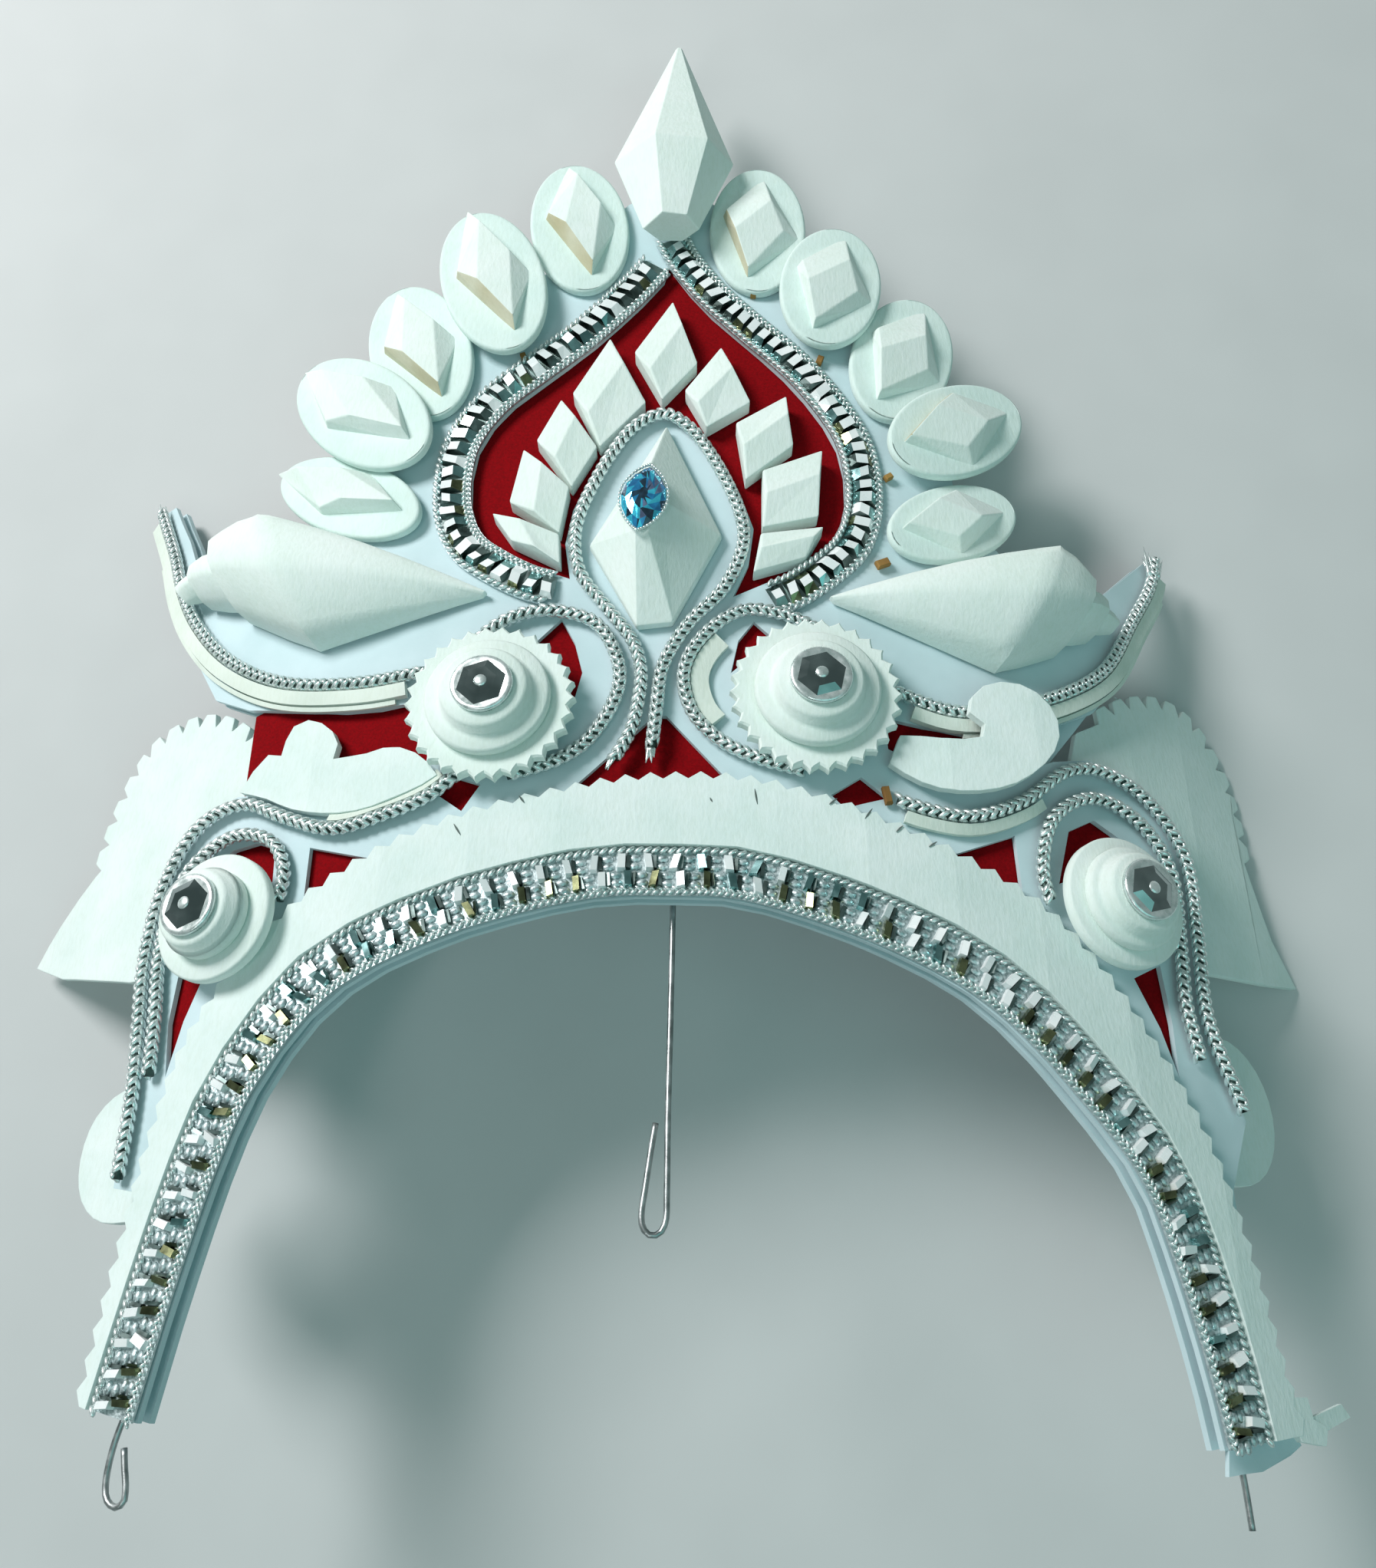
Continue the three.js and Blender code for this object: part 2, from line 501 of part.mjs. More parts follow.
// Joins the open chains of one strip along its two folds into closed loops, past the posts
function joinChains(chains, low, posts) {
  const loops = [];
  const left = new Set(chains);
  while (left.size > 0) {
    const first = left.values().next().value;
    const loop = [];
    let chain = first;
    do {
      left.delete(chain);
      loop.push(...chain);
      const end = chain[chain.length - 1];
      const onLow = Math.abs(end.x - low) < 1e-9;
      const starts = chains.filter((other) => Math.abs(other[0].x - end.x) < 1e-9);
      const ahead = starts.filter((other) => (onLow ? other[0].y < end.y : other[0].y > end.y));
      ahead.sort((one, two) => (onLow ? two[0].y - one[0].y : one[0].y - two[0].y));
      chain = ahead[0];
      const next = chain[0];
      const passed = posts.filter(([u, v]) => Math.abs(u - end.x) < 1e-9 && (v - end.y) * (v - next.y) < 0);
      passed.sort((one, two) => (onLow ? two[1] - one[1] : one[1] - two[1]));
      loop.push(...passed.map(([u, v]) => new THREE.Vector2(u, v)));
    } while (chain !== first);
    loops.push(loop);
  }
  return loops;
}

function isInside(point, ring) {
  let inside = false;
  ring.forEach((from, i) => {
    const to = ring[(i + 1) % ring.length];
    const crosses = from.y > point.y !== to.y > point.y;
    if (crosses && point.x < from.x + ((point.y - from.y) / (to.y - from.y)) * (to.x - from.x)) {
      inside = !inside;
    }
  });
  return inside;
}

// Keeps outline points a little off the folds
function clearOfFolds(ring) {
  return ring.map((point) => {
    const near = FOLDS.find((line) => Math.abs(point.x - line) < 0.06);
    return near === undefined ? point.clone() : new THREE.Vector2(near + 0.06, point.y);
  });
}

// Flat sheet with windows, folded round the bend, from height low to height high
function bentSheet(outline, windows, low, high, { rise = () => 0, posts = [] } = {}) {
  const rings = [outline, ...windows].map((ring, i) => {
    const clear = clearOfFolds(ring);
    const turnsLeft = !THREE.ShapeUtils.isClockWise(clear);
    return turnsLeft === (i === 0) ? clear : clear.reverse();
  });
  const at = (point, w) => fold(point.x, point.y, w + rise(point.x));
  const triangles = [];
  splitAtFolds(rings).forEach((strip, i) => {
    const loops = [...strip.loops, ...joinChains(strip.chains, FOLDS[i - 1], posts)];
    const outer = loops.filter((loop) => !THREE.ShapeUtils.isClockWise(loop));
    const inner = loops.filter((loop) => THREE.ShapeUtils.isClockWise(loop));
    for (const loop of outer) {
      const holes = inner.filter((hole) => isInside(hole[0], loop));
      const points = [...loop, ...holes.flat()];
      for (const [a, b, c] of THREE.ShapeUtils.triangulateShape(loop, holes)) {
        triangles.push(at(points[a], high), at(points[b], high), at(points[c], high));
        triangles.push(at(points[c], low), at(points[b], low), at(points[a], low));
      }
    }
    const edges = strip.chains.map((chain) => chain.slice(1).map((to, k) => [chain[k], to]));
    edges.push(...strip.loops.map((loop) => loop.map((from, k) => [from, loop[(k + 1) % loop.length]])));
    for (const [from, to] of edges.flat()) {
      triangles.push(at(from, low), at(to, low), at(to, high));
      triangles.push(at(from, low), at(to, high), at(from, high));
    }
  });
  return closedBody(triangles);
}

// Body through rings of the same number of points, closed by a fan at both ends
function loft(rings) {
  const triangles = [];
  const count = rings[0].length;
  for (let i = 0; i + 1 < rings.length; i += 1) {
    for (let k = 0; k < count; k += 1) {
      const next = (k + 1) % count;
      triangles.push(rings[i][k], rings[i][next], rings[i + 1][next]);
      triangles.push(rings[i][k], rings[i + 1][next], rings[i + 1][k]);
    }
  }
  const last = rings[rings.length - 1];
  for (let k = 1; k + 1 < count; k += 1) {
    triangles.push(rings[0][0], rings[0][k + 1], rings[0][k]);
    triangles.push(last[0], last[k], last[k + 1]);
  }
  return closedBody(triangles);
}

// Round cord or wire along a curve
function cordAlong(line, radius, sides, step) {
  const section = new THREE.Shape();
  for (let k = 0; k < sides; k += 1) {
    const angle = (2 * Math.PI * k) / sides;
    const point = new THREE.Vector2(radius * Math.cos(angle), radius * Math.sin(angle));
    if (k === 0) {
      section.moveTo(point.x, point.y);
    } else {
      section.lineTo(point.x, point.y);
    }
  }
  const steps = Math.max(2, Math.round(line.getLength() / step));
  return plainGeometry(new THREE.ExtrudeGeometry(section, { steps, extrudePath: line, bevelEnabled: false }));
}

function bentCurve(rows, w) {
  return new THREE.CatmullRomCurve3(rows.map(([u, v]) => bend(u, v, w)));
}

// Lace strip: bars that rise to a ridge across it, between two raised edges
// columns of the profile: share across, height in a valley, height on a ridge
function laceStrip(rows, half, pitch, profile) {
  const length = new THREE.SplineCurve(rows.map(([u, v]) => new THREE.Vector2(u, v))).getLength();
  const middle = curve(rows, length / (2 * Math.round(length / pitch)));
  const sides = profile.map(([share]) => offset(middle, share * half));
  const rings = middle.map((point, i) => {
    const tops = profile.map((row, k) => bend(sides[k][i].x, sides[k][i].y, SEAT + row[1 + (i % 2)]));
    const first = sides[0][i];
    const last = sides[sides.length - 1][i];
    return [...tops, bend(last.x, last.y, SEAT), bend(first.x, first.y, SEAT)];
  });
  return loft(rings);
}

// Joins overlapping closed bodies into one
function fuse(geometries) {
  const solids = geometries.map((geometry) => {
    const plain = plainGeometry(geometry);
    const mesh = new wasm.Mesh({
      numProp: 3,
      vertProperties: plain.attributes.position.array,
      triVerts: new Uint32Array(plain.index.array),
    });
    return new wasm.Manifold(mesh);
  });
  const joined = solids.reduce((sum, solid) => sum.add(solid)).getMesh();
  const geometry = new THREE.BufferGeometry();
  geometry.setAttribute('position', new THREE.BufferAttribute(new Float32Array(joined.vertProperties), 3));
  geometry.setIndex(new THREE.BufferAttribute(new Uint32Array(joined.triVerts), 1));
  return geometry;
}

const crown = new THREE.Group();

function addPiece(name, geometry, finish) {
  const mesh = new THREE.Mesh(geometry, new THREE.MeshStandardMaterial(finish));
  mesh.name = name;
  crown.add(mesh);
  return mesh;
}

// Sets a stiff piece flat on the bent card, at height w, turned about the card's normal
function seatOn(mesh, u, v, w, turn = 0) {
  const side = Math.sign(u);
  const angle = (side * Math.max(Math.abs(u) - FLAT_HALF, 0)) / BEND_RADIUS;
  mesh.position.copy(bend(u, v, w));
  mesh.rotation.set(0, angle, turn, 'YXZ');
}

// Arch lace edges, worked out from the arch table
const archLine = new THREE.SplineCurve(ARCH.map(([u, v]) => new THREE.Vector2(u, v)));

function archEdge(reachOf) {
  return ARCH.map((row, i) => {
    const along = archLine.getTangent(i / (ARCH.length - 1));
    const reach = reachOf(row);
    return [row[0] - along.y * reach, row[1] + along.x * reach];
  });
}

const archInner = curve(archEdge(() => -(ARCH_LACE_HALF + CARD_PAST_LACE)), 7);
const armLeftEdge = archEdge((row) => row[2] - 0.6).slice(0, 2).map(([u, v]) => new THREE.Vector2(u, v));
const armRightEdge = archEdge((row) => row[2] - 0.6).slice(-3).map(([u, v]) => new THREE.Vector2(u, v));

// Outline of the whole card; the front card turns in at the notches under the wings
function cardOutline(withNotches) {
  const keep = (row) => withNotches || !row[3];
  const sides = [...SIDE_LEFT.filter(keep), [...CARD_TOP, 0, 0], ...SIDE_RIGHT.filter(keep).reverse()];
  const around = traceOutline(sides, 7);
  return [...armLeftEdge, ...around, ...armRightEdge, ...archInner.slice().reverse()];
}

addPiece('base_card', bentSheet(cardOutline(false), [], 0, BASE_TOP, { posts: BACK_POSTS }), CARD);

const redFoot = curve(archEdge(() => RED_PAST_LACE).slice(3, -3), 9).reverse();
const redSides = [...RED_LEFT, RED_TIP, ...RED_RIGHT.slice().reverse()];
const redOutline = [...redSides.map(([u, v]) => new THREE.Vector2(u, v)), ...redFoot];
addPiece('red_ground', bentSheet(redOutline, [], RED_LOW, RED_TOP), RED);

// The medallion's window lies between the lace and the teardrop
const onionRows = [...ONION_LEFT, [0, 137.6], ...ONION_RIGHT.slice(0, -2).reverse()];
const onionRim = offset(curve(onionRows, 7), -(ONION_LACE_HALF - 0.3)).slice(1, -1);
const teardropRim = offset(curve(TEARDROP.slice(6, 17), 7), TEARDROP_RIM).reverse();
const medallion = [...onionRim, ...teardropRim];
const windows = Object.values(WINDOWS).map((rows) => rows.map(([u, v]) => new THREE.Vector2(u, v)));
addPiece('front_card', bentSheet(cardOutline(true), [medallion, ...windows], FRONT_LOW, FRONT_TOP), CARD);

// Pith band with a serrated rim
const bandRim = curve(archEdge((row) => row[2]), BAND_TOOTH_PITCH / 2);
const bandValley = offset(bandRim, -BAND_TOOTH_DEPTH);
const bandTeeth = bandRim.map((point, i) => (i % 2 ? point : bandValley[i]));
const bandFoot = curve(archEdge(() => ARCH_LACE_HALF + GAP), 9).reverse();
addPiece('arch_band', bentSheet([...bandTeeth, ...bandFoot], [], SEAT, SEAT + BAND_THICK), PITH);

// Lace
const ARCH_LACE = [[1, 1.2, 1.8], [0.6, 0.8, 2.0], [0, 0.7, 1.0], [-0.6, 0.8, 2.0], [-1, 0.9, 1.3]];
const ONION_LACE = [[1, 1.0, 1.3], [0.55, 0.7, 2.4], [-0.55, 0.7, 2.4], [-1, 1.0, 1.3]];
addPiece('arch_lace', laceStrip(ARCH, ARCH_LACE_HALF, ARCH_LACE_PITCH, ARCH_LACE), SILVER);
addPiece('onion_lace_left', laceStrip(ONION_LEFT, ONION_LACE_HALF, ONION_LACE_PITCH, ONION_LACE), SILVER);
addPiece('onion_lace_right', laceStrip(ONION_RIGHT, ONION_LACE_HALF, ONION_LACE_PITCH, ONION_LACE), SILVER);

// Cords
const teardropLine = bentCurve(TEARDROP, CORD_AXIS);
addPiece('teardrop_cord', cordAlong(teardropLine, CORD_RADIUS, CORD_SIDES, CORD_STEP), SILVER);
for (const [name, rows] of Object.entries(CORDS)) {
  addPiece(name, cordAlong(bentCurve(rows, CORD_AXIS), CORD_RADIUS, CORD_SIDES, CORD_STEP), SILVER);
}

// Petals: an oval disc with a carved wedge on it
for (const [name, row] of Object.entries(PETALS)) {
  const [rootU, rootV, tipU, tipV, width, level, reach] = row;
  const length = Math.hypot(tipU - rootU, tipV - rootV);
  const oval = new THREE.Shape().absellipse(0, 0, width / 2, length / 2, 0, 2 * Math.PI);
  const disc = new THREE.ExtrudeGeometry(new THREE.Shape(oval.getSpacedPoints(PETAL_SIDES).slice(0, -1)), {
    depth: PETAL_THICK,
    bevelEnabled: false,
  });
  const block = rootU < 0 ? BLOCKS.left : BLOCKS.right;
  const corners = block.map(([x, y, toTip, rise]) => {
    const height = rise ? PETAL_THICK + rise * WEDGE_HEIGHT : PETAL_THICK - WEDGE_SINK;
    return new THREE.Vector3(x * width, (y + toTip * reach) * length, height);
  });
  const wedge = new ConvexGeometry(corners);
  const mesh = addPiece(name, fuse([disc, wedge]), PITH);
  const turn = Math.atan2(tipV - rootV, tipU - rootU) - Math.PI / 2;
  seatOn(mesh, (rootU + tipU) / 2, (rootV + tipV) / 2, SEAT + level * PETAL_LEVEL, turn);
}

// Lozenges: a low wall with a ridge on top, between two slanting ends
for (const [name, corners] of Object.entries(LOZENGES)) {
  const u = corners.reduce((sum, corner) => sum + corner[0], 0) / 4;
  const v = corners.reduce((sum, corner) => sum + corner[1], 0) / 4;
  const [tip, left, root, right] = corners.map(([cu, cv]) => new THREE.Vector3(cu - u, cv - v, 0));
  const ring = [tip, left, root, right];
  const outerRidge = tip.clone().lerp(right, 0.42).multiplyScalar(0.94).setZ(LOZENGE_HEIGHT);
  const innerRidge = left.clone().lerp(root, 0.5).multiplyScalar(0.9).setZ(LOZENGE_HEIGHT);
  const wall = ring.map((corner) => corner.clone().setZ(LOZENGE_WALL));
  const geometry = loft([ring, wall, [outerRidge, innerRidge, innerRidge, outerRidge]]);
  seatOn(addPiece(name, geometry, PITH), u, v, RED_SEAT);
}

// Bud: five long facets up to a small flat
const budCorners = BUD.map(([u, v]) => new THREE.Vector3(u - BUD_FLAT.u, v - BUD_FLAT.v, 0));
const budFlat = [
  new THREE.Vector3(0.6, BUD_FLAT.half_length, BUD_HEIGHT),
  new THREE.Vector3(-BUD_FLAT.half_width, 0, BUD_HEIGHT),
  new THREE.Vector3(-1.4, -BUD_FLAT.half_length, BUD_HEIGHT),
  new THREE.Vector3(0.8, -BUD_FLAT.half_length, BUD_HEIGHT),
  new THREE.Vector3(BUD_FLAT.half_width, 0, BUD_HEIGHT),
];
const budWall = budCorners.map((corner) => corner.clone().setZ(BUD_WALL));
seatOn(addPiece('bud', loft([budCorners, budWall, budFlat]), PITH), BUD_FLAT.u, BUD_FLAT.v, SEAT);

// Marquise stone: flat foiled back, girdle, sloping facets and table
function marquise(scale, z) {
  const points = [];
  for (let k = 0; k < 12; k += 1) {
    const angle = (2 * Math.PI * k) / 12;
    const along = Math.sin(angle);
    const across = Math.cos(angle) * (1 - 0.25 * Math.abs(along));
    const x = (across * STONE_SIZE.width * scale) / 2;
    const y = (along * STONE_SIZE.length * scale) / 2;
    points.push(new THREE.Vector3(x, y, z));
  }
  return points;
}
const stone = loft([
  marquise(0.94, 0),
  marquise(1, STONE_SIZE.girdle),
  marquise(STONE_SIZE.table, STONE_SIZE.height),
]);
seatOn(addPiece('bud_stone', stone, STONE), BUD_FLAT.u, BUD_FLAT.v, SEAT + BUD_HEIGHT + GAP, STONE_SIZE.turn);

// Spire: a six-sided bud, cut across at the foot and pointed at the tip
const spireRings = SPIRE.map(([along, half, front, back]) => [
  new THREE.Vector3(-half, along, 0),
  new THREE.Vector3(SPIRE_RIDGES.front_left * half, along, front),
  new THREE.Vector3(SPIRE_RIDGES.front_right * half, along, 0.86 * front),
  new THREE.Vector3(half, along, 0),
  new THREE.Vector3(SPIRE_RIDGES.back * half, along, -back),
  new THREE.Vector3(-SPIRE_RIDGES.back * half, along, -back),
]);
const spire = addPiece('spire', loft(spireRings), PITH);
seatOn(spire, SPIRE_FOOT.u, SPIRE_FOOT.v, SPIRE_AXIS, SPIRE_FOOT.turn);

// Shells: facets lofted from nose to tail, with steps at the whorls
for (const [name, rows] of Object.entries(CONCHES)) {
  const onShell = ([lowU, lowV, topU, topV, height], [across, up]) =>
    bend(lowU + across * (topU - lowU), lowV + across * (topV - lowV), SEAT + 0.2 + up * height);
  const rings = rows.map((row) => CONCH_FACETS.map((facet) => onShell(row, facet)));
  const halfway = rows[0].map((value, k) => (value + rows[1][k]) / 2);
  const nose = CONCH_FACETS.map((facet, k) =>
    (facet[1] ? rings[0][k].clone().lerp(rings[1][k], 0.5) : onShell(halfway, facet)));
  rings.splice(1, 0, nose);
  addPiece(name, loft(rings), PITH);
}

// Leaves, ears and half discs: thin bent sheets of pith
const commaLeft = traceOutline(COMMA_LEFT, 3);
const commaRight = traceOutline(COMMA_RIGHT, 3);
const commaRise = (u) => Math.max(u - COMMA_RIGHT_RISE.from_u, 0) * COMMA_RIGHT_RISE.slope;
addPiece('comma_left', bentSheet(commaLeft, [], SEAT, SEAT + LEAF_THICK), PITH);
addPiece('comma_right', bentSheet(commaRight, [], SEAT, SEAT + LEAF_THICK, { rise: commaRise }), PITH);

for (const [name, { rim, hem }] of Object.entries(EARS)) {
  const rimLine = new THREE.SplineCurve(rim.map(([u, v]) => new THREE.Vector2(u, v)));
  const tips = rimLine.getSpacedPoints(EAR_TEETH * 4);
  const valleys = offset(tips, -Math.sign(rim[0][0]) * EAR_TOOTH_DEPTH);
  const teeth = tips.map((point, i) => (i % 4 === 0 ? valleys[i] : point)).filter((point, i) => i % 4 !== 2);
  const outline = [...teeth, ...hem.map(([u, v]) => new THREE.Vector2(u, v))];
  addPiece(name, bentSheet(outline, [], BACK_SEAT - EAR_THICK, BACK_SEAT), PITH);
}

for (const [name, [u, v, radius, turn]] of Object.entries(HALF_DISCS)) {
  const outline = [];
  for (let k = 0; k <= 14; k += 1) {
    const angle = turn - Math.PI / 2 + (Math.PI * k) / 14;
    outline.push(new THREE.Vector2(u + radius * Math.cos(angle), v + radius * Math.sin(angle)));
  }
  const back = -Math.cos(turn) * HALF_DISC_TONGUE;
  outline.push(new THREE.Vector2(u + back, v + Math.cos(turn) * radius));
  outline.push(new THREE.Vector2(u + back, v - Math.cos(turn) * radius));
  addPiece(name, bentSheet(outline, [], BACK_SEAT - HALF_DISC_THICK, BACK_SEAT), PITH);
}

// Rosettes: disc on a stem, turned boss and hexagon mirror
for (const [name, [u, v, radius, teeth, stem, boss, plug]] of Object.entries(ROSETTES)) {
  const rim = [];
  const corners = teeth > 0 ? teeth * 2 : 26;
  for (let k = 0; k < corners; k += 1) {
    const angle = (2 * Math.PI * k) / corners;
    const reach = teeth > 0 && k % 2 ? radius - ROSETTE_TOOTH : radius;
    rim.push(new THREE.Vector2(reach * Math.cos(angle), reach * Math.sin(angle)));
  }
  const plate = new THREE.ExtrudeGeometry(new THREE.Shape(rim), { depth: DISC_THICK, bevelEnabled: false });
  const stemHeight = DISC_LOW - SEAT + 0.6;
  const post = new THREE.CylinderGeometry(stem, stem, stemHeight, 12);
  post.rotateX(Math.PI / 2);
  post.translate(0, 0, SEAT - DISC_LOW + stemHeight / 2);
  seatOn(addPiece(`${name}_disc`, fuse([plate, post]), PITH), u, v, DISC_LOW);
  const step = 0.42 * BOSS_HEIGHT;
  const shoulder = plug + 0.4;
  const profile = [[0, 0], [boss, 0], [boss, step], [shoulder, step], [plug, BOSS_HEIGHT], [0, BOSS_HEIGHT]];
  const turned = new THREE.LatheGeometry(profile.map(([r, z]) => new THREE.Vector2(r, z)), 20);
  turned.rotateX(Math.PI / 2);
  seatOn(addPiece(`${name}_boss`, plainGeometry(turned), PITH), u, v, BOSS_LOW);
  const glassRows = [
    [0, 0],
    [MIRROR_RADIUS, 0],
    [MIRROR_RADIUS, 0.9],
    [0.76 * MIRROR_RADIUS, MIRROR_THICK],
    [0, MIRROR_THICK],
  ];
  const glass = new THREE.LatheGeometry(glassRows.map(([r, z]) => new THREE.Vector2(r, z)), 12);
  glass.rotateX(Math.PI / 2);
  seatOn(addPiece(`${name}_mirror`, plainGeometry(glass), MIRROR), u, v, MIRROR_LOW);
}

// Wires
const archRun = curve(archEdge(() => 0).slice(1, -1), 40).map((point) => [point.x, point.y]);
const archWireRows = [...ARCH_WIRE_LEFT, ...archRun, ...ARCH_WIRE_RIGHT];
const archWire = bentCurve(archWireRows, ARCH_WIRE_DEPTH);
addPiece('arch_wire', cordAlong(archWire, WIRE_RADIUS, WIRE_SIDES, 9), WIRE);
const centreWire = bentCurve(CENTRE_WIRE, CENTRE_WIRE_DEPTH);
addPiece('centre_wire', cordAlong(centreWire, WIRE_RADIUS, WIRE_SIDES, 5), WIRE);

// Points of a piece in the crown's frame
function pointsOf(name) {
  const mesh = crown.getObjectByName(name);
  mesh.updateMatrix();
  const position = mesh.geometry.attributes.position;
  const points = [];
  for (let i = 0; i < position.count; i += 1) {
    points.push(new THREE.Vector3().fromBufferAttribute(position, i).applyMatrix4(mesh.matrix));
  }
  return points;
}

// Middle of the volume of all pieces
function middleOfVolume() {
  const sum = new THREE.Vector3();
  let total = 0;
  for (const mesh of crown.children) {
    const points = pointsOf(mesh.name);
    const index = mesh.geometry.index;
    for (let i = 0; i < index.count; i += 3) {
      const [a, b, c] = [0, 1, 2].map((k) => points[index.getX(i + k)]);
      const volume = a.dot(b.clone().cross(c)) / 6;
      sum.addScaledVector(a.clone().add(b).add(c), volume / 4);
      total += volume;
    }
  }
  return sum.divideScalar(total);
}

// The crown rests on that face of its hull which lies under its middle
function floorNormal() {
  const hull = new ConvexHull().setFromPoints(crown.children.flatMap((mesh) => pointsOf(mesh.name)));
  const middle = middleOfVolume();
  const under = hull.faces.find((face) => {
    const corners = [face.edge, face.edge.next, face.edge.prev].map((edge) => edge.head().point);
    const foot = middle.clone().addScaledVector(face.normal, -face.distanceToPoint(middle));
    return face.normal.z < -0.5 && new THREE.Triangle(...corners).containsPoint(foot);
  });
  return under.normal.clone().negate();
}

crown.quaternion.setFromUnitVectors(floorNormal(), new THREE.Vector3(0, 0, 1));
crown.updateMatrixWorld(true);
const box = new THREE.Box3().setFromObject(crown, true);
crown.position.set(-(box.min.x + box.max.x) / 2, -(box.min.y + box.max.y) / 2, -box.min.z);

const part = new THREE.Group();
part.add(crown);

export default part;
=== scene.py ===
"""Looks of the bridal crown: carved pith, braided cord, faceted lace, card and red paper."""

import math
import random

import bmesh
import bpy
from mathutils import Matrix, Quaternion, Vector


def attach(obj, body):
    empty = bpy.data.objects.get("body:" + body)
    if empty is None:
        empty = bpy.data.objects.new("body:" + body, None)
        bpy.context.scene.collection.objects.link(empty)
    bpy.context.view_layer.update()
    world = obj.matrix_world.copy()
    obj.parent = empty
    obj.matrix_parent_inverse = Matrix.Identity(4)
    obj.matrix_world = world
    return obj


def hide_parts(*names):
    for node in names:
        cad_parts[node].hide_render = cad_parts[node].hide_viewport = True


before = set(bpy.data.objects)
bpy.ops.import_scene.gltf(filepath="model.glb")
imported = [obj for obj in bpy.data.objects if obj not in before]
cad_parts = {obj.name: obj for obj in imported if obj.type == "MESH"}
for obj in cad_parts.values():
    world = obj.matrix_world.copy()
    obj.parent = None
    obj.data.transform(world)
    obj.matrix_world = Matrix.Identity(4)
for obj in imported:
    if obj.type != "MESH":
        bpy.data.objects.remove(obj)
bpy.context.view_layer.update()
dice = random.Random(7)

MM = 0.001
# Corners of a square, for bars and the floor
SQUARE = [(-1, -1), (1, -1), (1, 1), (-1, 1)]

# Place of the crown's own frame in the row frame: turn, and shift in millimetres
CROWN_TURN = Quaternion((0.9953034848, -0.0957910154, 0.0139661943, 0.0))
CROWN_PLACE = Vector((3.0736540, -46.0706419, 42.3799728))

# Bend of the card, as in the part's source
FLAT_HALF = 18.0
BEND_RADIUS = 147.0
SEAT = 4.0
CORD_RADIUS = 1.3
CORD_AXIS = SEAT + CORD_RADIUS
DISC_LOW = 6.9
DISC_THICK = 2.2
BOSS_LOW = 9.4
BOSS_HEIGHT = 4.8
MIRROR_LOW = 14.5

# Power of the chord length that spaces a smooth line: even for laces, centripetal for cords and wires
EVEN = 0
CENTRIPETAL = 0.25
SPLINE_STEPS = 24

# Braided cord: plump strands laid in a wheat pattern round a core painted near black as the shade between
# the strands
CORE_RADIUS = 0.88
STRAND_REACH = 0.76
BRAID_PITCH = 1.7
BRAID_SLANT = math.radians(42)
STRAND = (1.2, 0.52, 0.48)
# columns: turn round the cord in degrees, shift along it as a share of the pitch, slant side
BRAID_COLUMNS = [(38, 0.0, -1), (-38, 0.5, 1), (108, 0.25, 1), (-108, 0.75, -1)]

# Places in a lace's list of materials, and the letters that draw them: b a painted highlight, t and o
# painted reflection tones, d painted shade
PAINTED_HIGHLIGHT, GAUZE, ROPE, PAINTED_TEAL_REFLECTION, PAINTED_SHADE, PAINTED_OLIVE_REFLECTION = range(6)
TONES = {"b": PAINTED_HIGHLIGHT, "t": PAINTED_TEAL_REFLECTION, "d": PAINTED_SHADE, "o": PAINTED_OLIVE_REFLECTION}

# Places in the lists of materials of a cord, a petal and a mirror
CORD_STRAND, CORD_SHADE_CORE = range(2)
PETAL_BLOCK, PETAL_DISC, PETAL_SKIN_AND_SHADE = range(3)
MIRROR_FACE, MIRROR_EDGE = range(2)

# Every lace: gauze between a twisted rope on its left edge and a small braid on its right one
GAUZE_TOP = 0.45
GAUZE_SPACING = 1.5
ROPE_PITCH = 1.35
ROPE_INSET = 0.62
ROPE_LIFT = 0.9
ROPE_SLANT = (0.80, 0.60)
ROPE_STRAND = (0.98, 0.42, 0.55)
EDGE_PITCH = 1.2
EDGE_INSET = 0.85
EDGE_APART = 0.32
EDGE_LIFT = 0.62
EDGE_STAGGER = 0.3
EDGE_SLANT = (0.78, 0.62)
EDGE_STRAND = (0.68, 0.3, 0.36)

# Arch lace: two rows of cut bars, each bar with a lower bar behind it painted as the shade beside it, and
# gauze bumps beside it
ARCH_HALF = 4.1
ARCH_EDGES = 1.35
ARCH_PITCH = 4.3
ARCH_MIDDLE = -0.1
ARCH_PART = 0.08
ARCH_START = 0.3
# columns: side, shift along as a share of the pitch, bar top, tones to draw from (mostly painted highlight
# on the upper row, painted olive reflection on the lower)
ARCH_ROWS = [(1, 0.0, 1.75, "bbbbbt"), (-1, 0.20, 1.6, "ooobt")]
# Shares: a bar's width of the pitch, its top of its foot, the painted-shade bar of the bar in front of it
BAR_WIDTH = 0.32
BAR_CHANGE = (0.85, 1.1)
BAR_LEAN = 0.3
BAR_SLANT = 0.25
BAR_TOP_LENGTH = 0.86
BAR_TOP_WIDTH = 0.42
SHADE_BAR_RUN = 0.75
SHADE_BAR_LENGTH = 0.92
SHADE_BAR_WIDTH = 0.5
SHADE_BAR_DROP = 0.45
BUMP_SIDES = (-0.5, 0.5)
BUMP_LIFT = 0.5
BUMP_RUN = 0.5
BUMP_SIZES = (0.26, 0.55, 0.55)

# Onion lace: one row of cut bars across, each with a chip on top painted as a highlight
# columns: half width, bar pitch, chip half length, chip shift
ONION_LACES = {"onion_lace_left": (3.6, 2.9, 1.25, 0.75), "onion_lace_right": (3.6, 2.9, 1.35, 0.0)}
ONION_EDGES = 1.25
